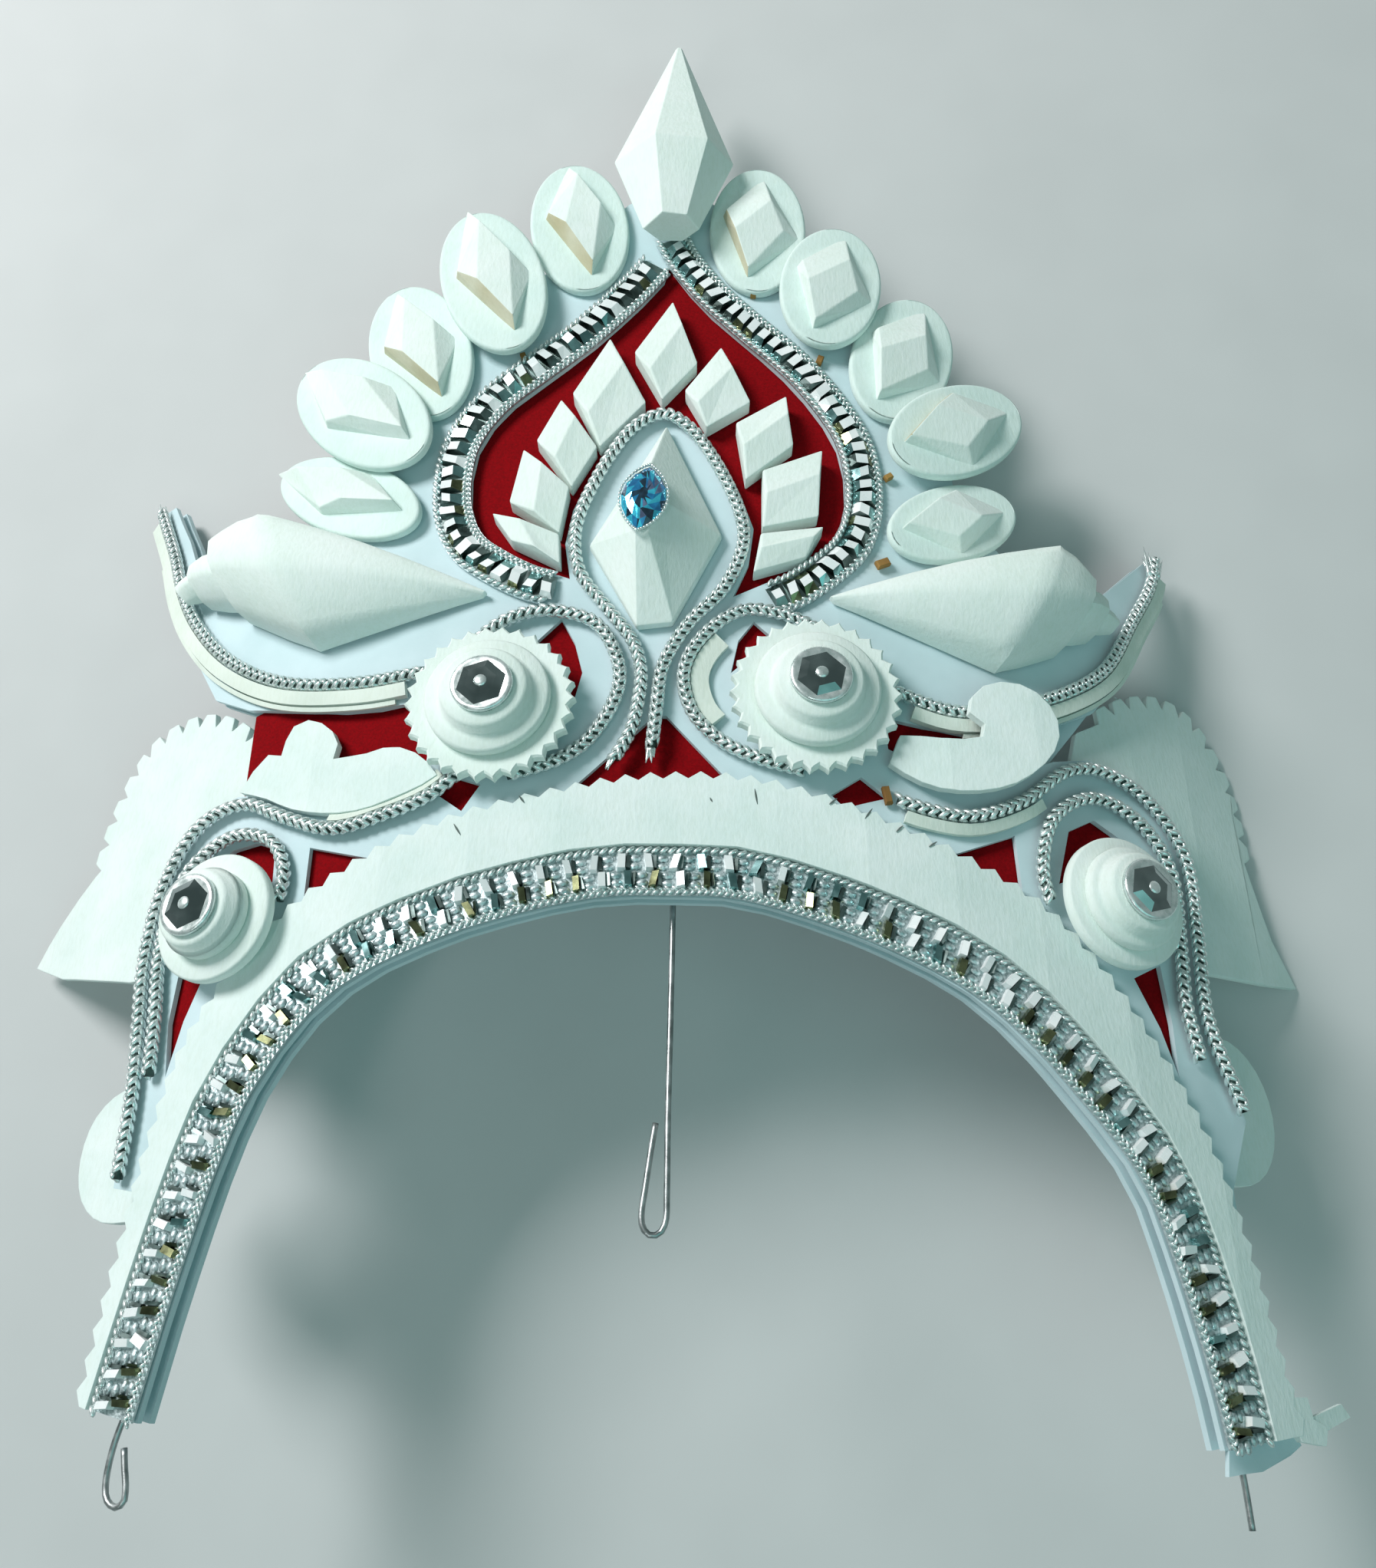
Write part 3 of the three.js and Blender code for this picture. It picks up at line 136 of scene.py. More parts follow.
# Low and high side of the ribbon under the bars, painted as the shade in the gaps between them
ONION_RIBBON = (0.4, 0.6)
CHIP_CHANGE = (0.6, 1.15)
CHIP_TOP = 1.75
CHIP_LEAN = 0.22
CHIP_SKEW = 0.35
CUT_CHANGE = (0.8, 1.05)
CUT_FOOT = 0.48
CUT_TOP = 0.34
# Tones of a bar's two ends: painted teal and olive reflection, painted shade and painted highlight
CUT_ENDS = "ttdob"

# Middle lines of laces and cords on the flat card, as in the part's source
# columns: u, v
ARCH = [
    (-80.8, -78.0), (-76.3, -57.6), (-71.7, -40.4), (-66.2, -27.5), (-54.9, -13.8), (-36.8, -4.9),
    (-14.6, 1.1), (0.1, 1.9), (14.7, 0.7), (37.0, -7.3), (53.4, -16.6), (67.7, -31.3), (76.8, -43.3),
    (81.5, -57.7), (84.7, -72.2), (86.1, -81.9),
]
ONION_LEFT = [
    (-21.4, 56.2), (-25.0, 57.4), (-30.4, 60.6), (-36.2, 65.6), (-39.3, 73.1), (-39.9, 82.0),
    (-38.4, 90.3), (-33.3, 98.8), (-25.5, 106.4), (-17.7, 113.9), (-8.9, 124.3), (-3.1, 132.5),
]
ONION_RIGHT = [
    (19.2, 54.0), (23.0, 56.0), (28.2, 60.3), (32.6, 65.4), (35.0, 72.3), (35.5, 81.0), (33.9, 90.1),
    (29.5, 99.0), (23.7, 107.4), (15.8, 116.3), (8.6, 124.7), (2.9, 133.6), (0.4, 139.4),
]
CORDS = {
    "teardrop_cord": [
        (-8.9, 21.8), (-6.4, 26.7), (-5.2, 32), (-4.7, 38.5), (-6.2, 44.4), (-11.3, 51.8), (-15.9, 58.6),
        (-17.0, 66.7), (-15.8, 72.9), (-10.4, 85.7), (-5.9, 92.0), (-0.8, 94.3), (3.4, 91.4), (8.3, 83.5),
        (13.0, 70.8), (13.3, 64.5), (9.7, 55.3), (3.6, 48.2), (-1.0, 39.4), (-1.9, 32), (-2.7, 23.8),
    ],
    "scroll_cord_left": [
        (-33.5, 44.4), (-30.0, 47.9), (-25.3, 50.3), (-20.0, 50.7), (-12.8, 48.2), (-8.6, 40.0),
        (-8.8, 34), (-13.8, 24.9), (-18.8, 21.4), (-26.5, 18.8),
    ],
    "scroll_cord_right": [
        (28.5, 45.0), (24.7, 47.7), (20.0, 50.0), (13.0, 50.8), (5.6, 45.0), (2.6, 38.2),
        (4.0, 30.8), (8.0, 25.9), (13.9, 22.4), (22.5, 19.6),
    ],
    "wing_cord_left": [
        (-107.1, 91.1), (-100.3, 78.2), (-96.4, 69.0), (-90.7, 59.4), (-80.8, 48.6), (-68.1, 41.1),
        (-53.2, 38.6), (-41.1, 39.6),
    ],
    "wing_cord_right": [
        (96.3, 75.7), (94.0, 69.0), (87.4, 58.6), (79.3, 46.3), (70.1, 39.4), (58.0, 34.2),
        (48.0, 32.4), (36.5, 36.0),
    ],
    "side_cord_outer_left": [
        (-34.5, 19.5), (-39.2, 15.6), (-45.7, 13.0), (-55.1, 11.1), (-64.4, 14.4), (-72.6, 18.0),
        (-81.7, 15.1), (-87.6, 4.3), (-88.9, -8.0), (-87.6, -20.0), (-86.5, -31.5), (-86.6, -44.0),
    ],
    "side_cord_outer_right": [
        (37.5, 14.8), (43.1, 13.2), (50.0, 12.8), (59.0, 16.5), (68.3, 23.6), (75.0, 24.8), (83.8, 21.4),
        (91.0, 12.0), (91.2, -2.5), (90.5, -18.0), (95.4, -32.6),
    ],
    "side_cord_inner_left": [
        (-63.2, -0.8), (-62.9, 4.5), (-66.0, 10.2), (-73.5, 12.2), (-81.6, 7.6), (-85.0, 0), (-85.6, -8.0),
        (-84.4, -18.0), (-83.6, -28.0),
    ],
    "side_cord_inner_right": [
        (62.0, -0.8), (61.3, 4.0), (64.6, 14.4), (72.9, 19.2), (82.0, 16.1), (87.2, 8.2), (86.9, -6.3),
        (86.1, -16.0), (87.4, -25.0),
    ],
}

# Pale pith strips glued beside some cords
# columns: cord, first and last share of its length, near and far edge (left of the run is plus),
# top at the near edge, top at the far edge
PITH_STRIPS = [
    ("wing_cord_left", 0.04, 0.97, -1.4, -3.9, 1.5, 1.2),
    ("wing_cord_left", 0.16, 0.95, -4.1, -4.9, 0.7, 0.5),
    ("wing_cord_right", 0.06, 0.93, 1.4, 3.7, 1.5, 1.2),
    ("wing_cord_right", 0.10, 0.84, 3.9, 4.6, 0.7, 0.5),
    ("side_cord_outer_left", 0.02, 0.24, -1.4, -3.4, 1.5, 0.8),
    ("side_cord_outer_right", 0.02, 0.26, -1.4, -3.2, 1.5, 0.8),
    ("scroll_cord_right", 0.38, 0.74, 1.3, 4.4, 1.3, 0.8),
]
STRIP_SPACING = 2.0

# Petals, as in the part's source: an oval disc with a carved block on it
# columns: root u, root v, tip u, tip v, width, level, block reach (share of the length)
PETALS = {
    "petal_left_1": (-16.3, 124.6, -21.0, 159.6, 20.0, 0, 0.50),
    "petal_left_2": (-29.0, 108.2, -40.0, 145.0, 20.5, 1, 0.54),
    "petal_left_3": (-42.4, 95.5, -54.5, 129.6, 20.5, 0, 0.49),
    "petal_left_4": (-44.5, 84.5, -71.0, 110.6, 20.5, 1, 0.52),
    "petal_left_5": (-44.8, 71.0, -74.5, 88.0, 16.0, 0, 0.55),
    "petal_right_1": (17.1, 124.2, 18.0, 158.4, 19.5, 0, 0.43),
    "petal_right_2": (28.2, 109.2, 33.6, 140.0, 20.0, 1, 0.44),
    "petal_right_3": (39.2, 94.4, 49.6, 125.2, 20.0, 0, 0.45),
    "petal_right_4": (40.0, 83.4, 65.8, 100.8, 19.5, 1, 0.43),
    "petal_right_5": (39.0, 66.2, 64.0, 78.0, 16.0, 0, 0.43),
}
PETAL_THICK = 1.8
PETAL_LEVEL = PETAL_THICK + 0.4
# columns: cut from the width and length, height
PETAL_RINGS = [
    (0.5, 0.0), (0, 0.4), (0, PETAL_THICK - 0.6), (0.5, PETAL_THICK - 0.15), (1.4, PETAL_THICK),
]
BLOCK_HEIGHT = 3.4
BLOCK_SINK = 0.5
# columns: x (share of the width), y (share of the length), y (share of the reach), rise (0 for the foot)
BLOCKS = {
    "left": [
        (-0.03, 0, 1, 0), (-0.34, 0.08, 0, 0), (0.05, -0.4, 0, 0), (0.38, -0.04, 0, 0),
        (-0.3, 0.07, 0, 0.55), (0.08, -0.35, 0, 0.7), (0.05, 0, 0.62, 1), (-0.14, -0.06, 0, 1),
        (0.24, 0.08, 0, 0.85),
    ],
    "right": [
        (0.06, 0, 1, 0), (-0.37, 0.1, 0, 0), (-0.1, -0.4, 0, 0), (0.45, -0.08, 0, 0),
        (-0.33, 0.095, 0, 0.55), (-0.1, -0.36, 0, 0.5), (0.13, 0, 0.3, 1), (-0.24, -0.1, 0, 1),
        (0.26, -0.08, 0, 0.65),
    ],
}
# Petals whose block has its steep side tinted tan: partly the pith's brown skin, partly painted shade
SKIN_AND_SHADE_PETALS = ("petal_left_1", "petal_left_2", "petal_left_3", "petal_right_1", "petal_right_4")
# That side in terms of a face's normal: range of its rise, and limits of its ways across and along
TAN_SIDE_RISE = (-0.1, 0.55)
TAN_SIDE_LEAN = 0.4
TAN_SIDE_ACROSS = -0.2
TAN_SIDE_ALONG = 0.1

# Conch shells, near those in the part's source, from the long nose to the spire
# columns: low u, low v, top u, top v, height, lift over the card
CONCHES = {
    "conch_left": [
        (-32.6, 54.4, -32.0, 55.2, 1.6, 0),
        (-62.0, 46.9, -72.5, 75.6, 13.5, 0),
        (-78.2, 56.4, -82.2, 73.0, 11.5, 0),
        (-78.8, 58.8, -82.4, 70.4, 8.4, 0.4),
        (-87.6, 61.6, -88.8, 70.0, 7.0, 0.6),
        (-87.8, 62.9, -89.0, 67.9, 4.8, 1.8),
        (-91.6, 62.8, -94.2, 67.2, 2.5, 2.6),
    ],
    "conch_right": [
        (28.8, 53.0, 28.2, 53.9, 1.6, 0),
        (57.0, 41.6, 67.5, 67.0, 13.5, 0),
        (69.2, 47.0, 73.6, 61.4, 11.5, 0),
        (69.8, 49.6, 73.8, 59.4, 8.4, 0.4),
        (76.2, 51.2, 77.6, 58.8, 7.0, 0.6),
        (76.4, 52.6, 77.8, 57.2, 4.8, 1.6),
        (80.4, 53.2, 81.4, 55.8, 2.4, 2.4),
    ],
}
CONCH_SEAT = SEAT + 0.2
# columns: share across, share of the height
CONCH_CORNERS = [(0, 0), (0.04, 0.42), (0.42, 0.98), (0.84, 0.88), (1.0, 0.4), (1.0, 0)]
CONCH_ROUNDING = 0.16
# How a shell swells between two rows: first the nose, then the body, then each whorl or groove
# columns: share of the way, size
CONCH_SWELL = [
    [(0.15, 1.05), (0.35, 1.06), (0.55, 1.05), (0.75, 1.03), (0.92, 1.01)],
    [(0.12, 1.0), (0.4, 1.03), (0.75, 1.02)],
]
CONCH_WHORL = [(0.2, 1.05), (0.5, 1.08), (0.8, 1.04)]
CONCH_GROOVE = [(0.5, 0.93)]
# Rows nearer to each other than this make a groove
CONCH_STEP = 3.0

# Rosettes
# columns: u, v, disc radius, teeth, stem radius, boss radius, plug radius
ROSETTES = {
    "rosette_left": (-29.3, 31.0, 14.6, 30, 8.0, 10.6, 7.4),
    "rosette_right": (24.6, 32.4, 14.6, 30, 8.0, 10.6, 7.4),
    "side_rosette_left": (-72.5, -3.6, 10.9, 0, 5.4, 7.6, 6.6),
    "side_rosette_right": (73.8, -0.8, 11.3, 0, 5.4, 8.8, 6.8),
}
ROSETTE_TOOTH = 1.2
TOOTH_POWER = 0.7
SIDES_PER_TOOTH = 6
PLAIN_SIDES = 96
# columns: cut from the radius, height
PLATE_EDGE = [(0.25, 0), (0, 0.3), (0, DISC_THICK - 0.35), (0.4, DISC_THICK)]
PLATE_TOP = 0.6
BOSS_SIDES = 72
BOSS_STEP = 0.42 * BOSS_HEIGHT
MIRROR_RADIUS = 5.2
MIRROR_TURN = 0.3
MIRROR_SIDES = 48
# columns: cut from the radius, height
MIRROR_RIM = [(0, 0), (0, 0.7), (0.3, 1.0), (0.8, 0.9)]
# columns: share of the radius, height
MIRROR_FACETS = [(0.84, 0.85), (0.52, 1.5)]
FACET_SIDES = 6
# columns: radius, height
MIRROR_KNOB = [(1.15, 1.45), (1.0, 1.62), (0.6, 1.75)]
KNOB_SIDES = 16

# Marquise stone on the bud
STONE = {"u": -4.4, "v": 68.4, "low": 13.7, "width": 8.0, "length": 13.2, "turn": -0.16}
STONE_SIDES = 16
STONE_POINT = 0.6
# columns: share of the outline, height, turn as a share of a facet
STONE_RINGS = [(0.9, 0.0, 0), (1.0, 0.5, 0), (0.80, 1.3, 0.5), (0.5, 1.8, 0), (0.2, 1.9, 0)]
# Places in the stone's list of blues that the two halves of each facet draw from
STONE_LOW_BLUES = (0, 1, 2, 2, 3)
STONE_HIGH_BLUES = (0, 1, 1, 2, 2)
RIM_SHARE = 1.07
RIM_HEIGHT = 0.6
RIM_BEADS = 52
RIM_BEAD = (0.42, 0.24, 0.36)

# Wires behind the card
WIRE_RADIUS = 0.5
WIRE_SIDES = 12
WIRE_SPACING = 1.0
# columns: u, v
ARCH_WIRE_LEFT = [
    (-82.7, -82.2), (-82.1, -84.5), (-81.2, -87.5), (-81.2, -89.3), (-82.7, -90.0), (-84.6, -89.0),
    (-85.3, -87.0), (-85.0, -82.4), (-83.4, -77.2),
]
ARCH_WIRE_RIGHT = [(88.6, -80.0), (89.4, -86.6), (89.6, -93.2)]
CENTRE_WIRE = [
    (1.0, 10.0), (0.9, -2.0), (0.6, -20.0), (0.3, -35.3), (0.2, -47.9), (0.1, -51.3), (-0.6, -53.0),
    (-2.0, -53.6), (-3.2, -52.7), (-3.6, -51.0), (-3.0, -46.2), (-2.1, -40.0), (-1.6, -37.0),
]
# columns: name, middle line, height (minus is behind the card)
WIRES = [
    ("arch_wire", [*ARCH_WIRE_LEFT, *ARCH[1:-1], *ARCH_WIRE_RIGHT], -0.95),
    ("centre_wire", CENTRE_WIRE, -2.25),
]

# Torn flaps at the end of the right arm
# columns: name, foot and top above the card, slot, outline as u and v
FLAPS = [
    ("card_flap", 0.1, 0.9, "card", [
        (84.6, -86.0), (86.2, -78.8), (99.6, -78.9), (101.3, -81.9), (98.3, -83.3), (91.6, -85.4),
        (87.5, -85.7),
    ]),
    ("pith_flap", 4.1, 5.3, "pith", [
        (93.2, -78.3), (95.0, -75.3), (98.7, -75.3), (99.3, -78.3), (102.3, -79.5), (101.2, -82.0),
        (96.1, -81.4),
    ]),
    ("pith_shred", 4.4, 5.1, "pith", [(99.0, -78.1), (106.9, -76.1), (108.7, -78.0), (101.6, -80.1)]),
]

# Knife nicks across the rim of the band
# columns: u and v where each one starts, u and v where it ends
NICKS = [
    (-34.4, 10.2, -33.2, 8.2), (14.4, 16.1, 14.8, 13.3), (26.3, 13.4, 27.6, 14.5), (31.9, 11.0, 33.2, 12.9),
    (36.8, 8.9, 38.0, 10.1), (42.0, 6.6, 43.4, 7.6), (7.0, 14.5, 7.4, 13.7), (-24.2, 14.9, -23.4, 13.7),
]
BAND_TOP = SEAT + 1.5
NICK_SPACING = 0.4
NICK_HALF = 0.16
NICK_DEPTH = 0.05
# Share of a half wave that a nick's width follows: start, span
NICK_WAVE = (0.08, 0.84)

# Bits of brown skin left on the pith
# columns: u, v, length, width, turn in degrees
SKIN_BITS = [
    (38.0, 62.0, 2.6, 1.5, 25), (28.6, 108.2, 2.0, 1.2, 70), (16.4, 125.0, 1.6, 1.1, 85),
    (-28.2, 109.0, 1.8, 1.1, -70), (36.0, 15.8, 1.2, 3.2, 10), (40.2, 81.4, 1.6, 1.1, 35),
]
# columns: share of the length and width, height
SKIN_RINGS = [(0.96, 0.0), (1.0, 0.3), (1.0, 0.9), (0.8, 1.2)]
SKIN_CORNERS = [(-0.5, -0.5), (0.5, -0.5), (0.5, 0.5), (-0.5, 0.5)]

# Frayed ends of the cords
# columns: u, v, heading in degrees, length, strands
FRAYS = [
    (94.6, 70.6, 100, 7.0, 5), (96.2, 71.6, 74, 5.6, 4), (-106.6, 89.8, 116, 4.6, 6),
    (-8.9, 22.4, -110, 3.2, 5), (-2.8, 24.2, -96, 3.0, 5),
]
FRAY_TURN = 12
FRAY_SPREAD = (0.7, 0.4)
FRAY_LENGTH = (0.6, 1.0)
FRAY_RISE = (-0.5, 0.4)
FRAY_RADIUS = 0.62
FRAY_TAPER = 0.92
FRAY_STEPS = 5
FRAY_SIDES = 6

# Edges, in metres and radians
WELD_GAP = 0.00001
SOFT_WIDTH = 0.0003
SOFT_ANGLE = math.radians(14)
CRISP_ANGLE = math.radians(35)
# Solids whose edges are rounded, by how their names start
SOFT_EDGES = ("petal", "lozenge", "bud", "spire", "conch", "comma", "ear", "half_disc", "arch_band")

# Range of a noise that is spread over a whole roughness range
NOISE_RANGE = (0.3, 0.7)

# Studio, in metres in the row frame
FLOOR_REACH = 3
FLOOR_TONES = [(0.3, (0.60, 0.61, 0.61)), (0.7, (0.63, 0.64, 0.64))]
WORLD_COLOUR = (0.74, 0.94, 0.92, 1.0)
WORLD_STRENGTH = 0.20
# columns: name, place, target, size, power, colour
LIGHTS = [
    ("key", (-0.52, 0.42, 0.58), (0, 0, 0.04), (0.30, 0.30), 7.2, (1.0, 0.985, 0.985)),
    ("fill", (0.35, -0.45, 0.80), (0, 0, 0.04), (0.9, 0.9), 1.6, (0.36, 0.98, 0.94)),
    ("glint", (-0.25, -0.45, 0.75), (0, 0, 0.05), (0.10, 0.5), 0.7, (1.0, 1.0, 1.0)),
]

# Camera in the crown's frame, in millimetres
CAMERA_PLACE = (3.39, -79.46, 212.3)
CAMERA_TILT = math.radians(25)
CAMERA_LENS = 31.7
CAMERA_SENSOR = 36
# Nearest distance that the camera sees, in metres
CAMERA_NEAR = 0.01


def row(point):
    """A point of the crown's frame in millimetres, as metres in the row frame."""
    return (CROWN_TURN @ Vector(point) + CROWN_PLACE) * MM


def bend(u, v, w):
    """A point of the flat card, at height w over it, once the card is bent."""
    side = math.copysign(1, u)
    angle = max(abs(u) - FLAT_HALF, 0) / BEND_RADIUS
    radius = BEND_RADIUS + w
    x = side * (min(abs(u), FLAT_HALF) + radius * math.sin(angle))
    return Vector((x, v, radius * math.cos(angle) - BEND_RADIUS))


def card_normal(u):
    angle = math.copysign(max(abs(u) - FLAT_HALF, 0) / BEND_RADIUS, u)
    return Vector((math.sin(angle), 0, math.cos(angle)))


def spline(rows, spacing, power):
    """Evenly spaced points on a smooth line through rows of u and v."""
    points = [Vector(r) for r in rows]
    points = [2 * points[0] - points[1], *points, 2 * points[-1] - points[-2]]
    dense = []
    for a, b, c, d in zip(points, points[1:], points[2:], points[3:]):
        t0, t1, t2 = ((q - p).length_squared ** power for p, q in ((a, b), (b, c), (c, d)))
        start = ((b - a) / t0 - (c - a) / (t0 + t1) + (c - b) / t1) * t1
        end = ((c - b) / t1 - (d - b) / (t1 + t2) + (d - c) / t2) * t1
        for i in range(SPLINE_STEPS):
            t = i / SPLINE_STEPS
            dense.append(
                b * (2 * t**3 - 3 * t**2 + 1) + start * (t**3 - 2 * t**2 + t)
                + c * (3 * t**2 - 2 * t**3) + end * (t**3 - t**2)
            )
    dense.append(points[-2])
    lengths = [0.0]
    for p, q in zip(dense, dense[1:]):
        lengths.append(lengths[-1] + (q - p).length)
    count = max(2, round(lengths[-1] / spacing))
    even = []
    k = 0
    for i in range(count + 1):
        target = lengths[-1] * i / count
        while k < len(dense) - 2 and lengths[k + 1] < target:
            k += 1
        share = (target - lengths[k]) / max(lengths[k + 1] - lengths[k], 1e-9)
        even.append(dense[k].lerp(dense[k + 1], share))
    return even


class Stop:
    """One place on a line that lies on the card: point, run, left side and card normal."""

    def __init__(self, uv, along, w):
        self.point = bend(uv.x, uv.y, w)
        self.up = card_normal(uv.x)
        ahead = bend(uv.x + along.x * 0.1, uv.y + along.y * 0.1, w)
        self.run = (ahead - self.point).normalized()
        self.left = self.up.cross(self.run)

    def at(self, left, up=0.0, run=0.0):
        return self.point + self.left * left + self.up * up + self.run * run


def stops(rows, w, spacing, power=CENTRIPETAL):
    """Evenly spaced stops on a smooth line at one height over the card."""
    line = spline(rows, spacing, power)
    out = []
    for i, uv in enumerate(line):
        along = line[min(i + 1, len(line) - 1)] - line[max(i - 1, 0)]
        out.append(Stop(uv, along.normalized(), w))
    return out


class Maker:
    """Gathers corners and faces, then makes one mesh object in the row frame."""

    def __init__(self):
        self.corners = []
        self.faces = []
        self.kinds = []
        self.smooth = []

    def add(self, corners, faces, kind=0, smooth=True):
        base = len(self.corners)
        self.corners.extend(corners)
        kinds = kind if isinstance(kind, list) else [kind] * len(faces)
        for face, face_kind in zip(faces, kinds):
            self.faces.append([base + k for k in face])
            self.kinds.append(face_kind)
            self.smooth.append(smooth)

    def lobe(self, middle, along, side, up, sizes, kind=0):
        """A plump strand: a ball stretched along one way."""
        a, b, c = sizes
        corners = [middle + along * (a * x) + side * (b * y) + up * (c * z) for x, y, z in BALL_CORNERS]
        self.add(corners, BALL_FACES, kind)

    def rings(self, rings, kind=0, smooth=True):
        """A closed skin through rings of the same number of corners."""
        count = len(rings[0])
        faces = []
        for i in range(len(rings) - 1):
            for k in range(count):
                n = (k + 1) % count
                faces.append((i * count + k, i * count + n, (i + 1) * count + n, (i + 1) * count + k))
        faces.append(tuple(reversed(range(count))))
        faces.append(tuple((len(rings) - 1) * count + k for k in range(count)))
        self.add([c for ring in rings for c in ring], faces, kind, smooth)

    def tube(self, line, radius, sides=10, kind=0):
        rings = []
        for stop in line:
            ring = []
            for k in range(sides):
                angle = 2 * math.pi * k / sides
                ring.append(stop.at(radius * math.cos(angle), radius * math.sin(angle)))
            rings.append(ring)
        self.rings(rings, kind=kind)

    def strip(self, line, profile, kind=0):
        """A bar along a line. columns of the profile: left, up"""
        self.rings([[stop.at(left, up) for left, up in profile] for stop in line], kind=kind, smooth=False)

    def piece(self, name, materials, slot, replaces=None):
        mesh = bpy.data.meshes.new(name)
        mesh.from_pydata([row(c) for c in self.corners], [], self.faces)
        mesh.polygons.foreach_set("use_smooth", self.smooth)
        for material in materials:
            mesh.materials.append(material)
        mesh.polygons.foreach_set("material_index", self.kinds)
        mesh.validate()
        piece = bpy.data.objects.new(name, mesh)
        bpy.context.scene.collection.objects.link(piece)
        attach(piece, "root")
        if replaces:
            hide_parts(replaces)
        return piece


def ball(segments=8, rings=4):
    """Corners and faces of a ball of size one."""
    corners = [(-1.0, 0.0, 0.0)]
    for i in range(1, rings):
        angle = math.pi * i / rings
        for k in range(segments):
            turn = 2 * math.pi * k / segments
            reach = math.sin(angle)
            corners.append((-math.cos(angle), reach * math.cos(turn), reach * math.sin(turn)))
    corners.append((1.0, 0.0, 0.0))
    faces = []
    for k in range(segments):
        n = (k + 1) % segments
        faces.append((0, 1 + n, 1 + k))
        for i in range(rings - 2):
            low = 1 + i * segments
            high = low + segments
            faces.append((low + k, low + n, high + n, high + k))
        last = 1 + (rings - 2) * segments
        faces.append((last + k, last + n, len(corners) - 1))
    return corners, faces


BALL_CORNERS, BALL_FACES = ball()


class Nodes:
    """A short way to wire a material's nodes."""

    def __init__(self, name):
        self.material = bpy.data.materials.new(name)
        self.material.use_nodes = True
        self.tree = self.material.node_tree
        self.shader = self.tree.nodes["Principled BSDF"]
        self.place = self.new("ShaderNodeTexCoord").outputs["Object"]

    def new(self, kind):
        return self.tree.nodes.new(kind)

    def link(self, source, target):
        self.tree.links.new(source, target)

    def set(self, **values):
        for name, value in values.items():
            self.shader.inputs[name.replace("_", " ")].default_value = value
        return self

    def stretched(self, scale):
        mapping = self.new("ShaderNodeMapping")
        mapping.inputs["Scale"].default_value = scale
        self.link(self.place, mapping.inputs["Vector"])
        return mapping.outputs["Vector"]

    def noise(self, scale, detail=3.0, roughness=0.55, place=None):
        node = self.new("ShaderNodeTexNoise")
        node.inputs["Scale"].default_value = scale
        node.inputs["Detail"].default_value = detail
        node.inputs["Roughness"].default_value = roughness
        self.link(place or self.place, node.inputs["Vector"])
        return node.outputs["Fac"]

    def ramp(self, value, stops):
        node = self.new("ShaderNodeValToRGB")
        ramp = node.color_ramp
        while len(ramp.elements) < len(stops):
            ramp.elements.new(0.5)
        for element, (position, colour) in zip(ramp.elements, stops):
            element.position = position
            element.color = (*colour, 1.0)
        self.link(value, node.inputs["Fac"])
        return node.outputs["Color"]

    def times(self, first, second):
        node = self.new("ShaderNodeMix")
        node.data_type = "RGBA"
        node.blend_type = "MULTIPLY"
        node.inputs["Factor"].default_value = 1.0
        self.link(first, node.inputs["A"])
        self.link(second, node.inputs["B"])
        return node.outputs["Result"]

    def spread(self, value, low, high):
        node = self.new("ShaderNodeMapRange")
        node.inputs["From Min"].default_value = NOISE_RANGE[0]
        node.inputs["From Max"].default_value = NOISE_RANGE[1]
        node.inputs["To Min"].default_value = low
        node.inputs["To Max"].default_value = high
        self.link(value, node.inputs["Value"])
        return node.outputs["Result"]

    def bump(self, height, strength, distance):
        node = self.new("ShaderNodeBump")
        node.inputs["Strength"].default_value = strength
        node.inputs["Distance"].default_value = distance
        self.link(height, node.inputs["Height"])
        self.link(node.outputs["Normal"], self.shader.inputs["Normal"])

    def colour(self, source):
        self.link(source, self.shader.inputs["Base Color"])

    def roughness(self, source):
        self.link(source, self.shader.inputs["Roughness"])


def pith_material(name, light, dark):
    nodes = Nodes(name).set(Specular_IOR_Level=0.25)
    broad = nodes.noise(90, 2)
    fibre = nodes.noise(1600, 4, 0.6, nodes.stretched((1.0, 0.3, 1.0)))
    tone = nodes.ramp(broad, [(0.32, dark), (0.68, light)])
    streaks = nodes.ramp(fibre, [(0.34, (0.955, 0.96, 0.94)), (0.56, (1.0, 1.0, 1.0))])
    nodes.colour(nodes.times(tone, streaks))
    nodes.roughness(nodes.spread(fibre, 0.72, 0.9))
    nodes.bump(fibre, 0.45, 0.0002)
    return nodes.material


def card_material():
    nodes = Nodes("card").set(Specular_IOR_Level=0.3)
    nodes.colour(nodes.ramp(nodes.noise(60, 3), [(0.3, (0.53, 0.68, 0.71)), (0.7, (0.63, 0.77, 0.81))]))
    grain = nodes.noise(2600, 2)
    nodes.roughness(nodes.spread(grain, 0.6, 0.8))
    nodes.bump(grain, 0.12, 0.0001)
    return nodes.material


def red_material():
    nodes = Nodes("red_paper").set(Specular_IOR_Level=0.08, Sheen_Weight=0.06, Sheen_Roughness=0.5)
    nodes.shader.inputs["Sheen Tint"].default_value = (1.0, 0.1, 0.1, 1.0)
    nap = nodes.noise(2200, 3)
    nodes.colour(nodes.ramp(nap, [(0.3, (0.17, 0.001, 0.003)), (0.7, (0.27, 0.002, 0.005))]))
    nodes.roughness(nodes.spread(nap, 0.85, 0.97))
    nodes.bump(nap, 0.3, 0.0002)
    return nodes.material


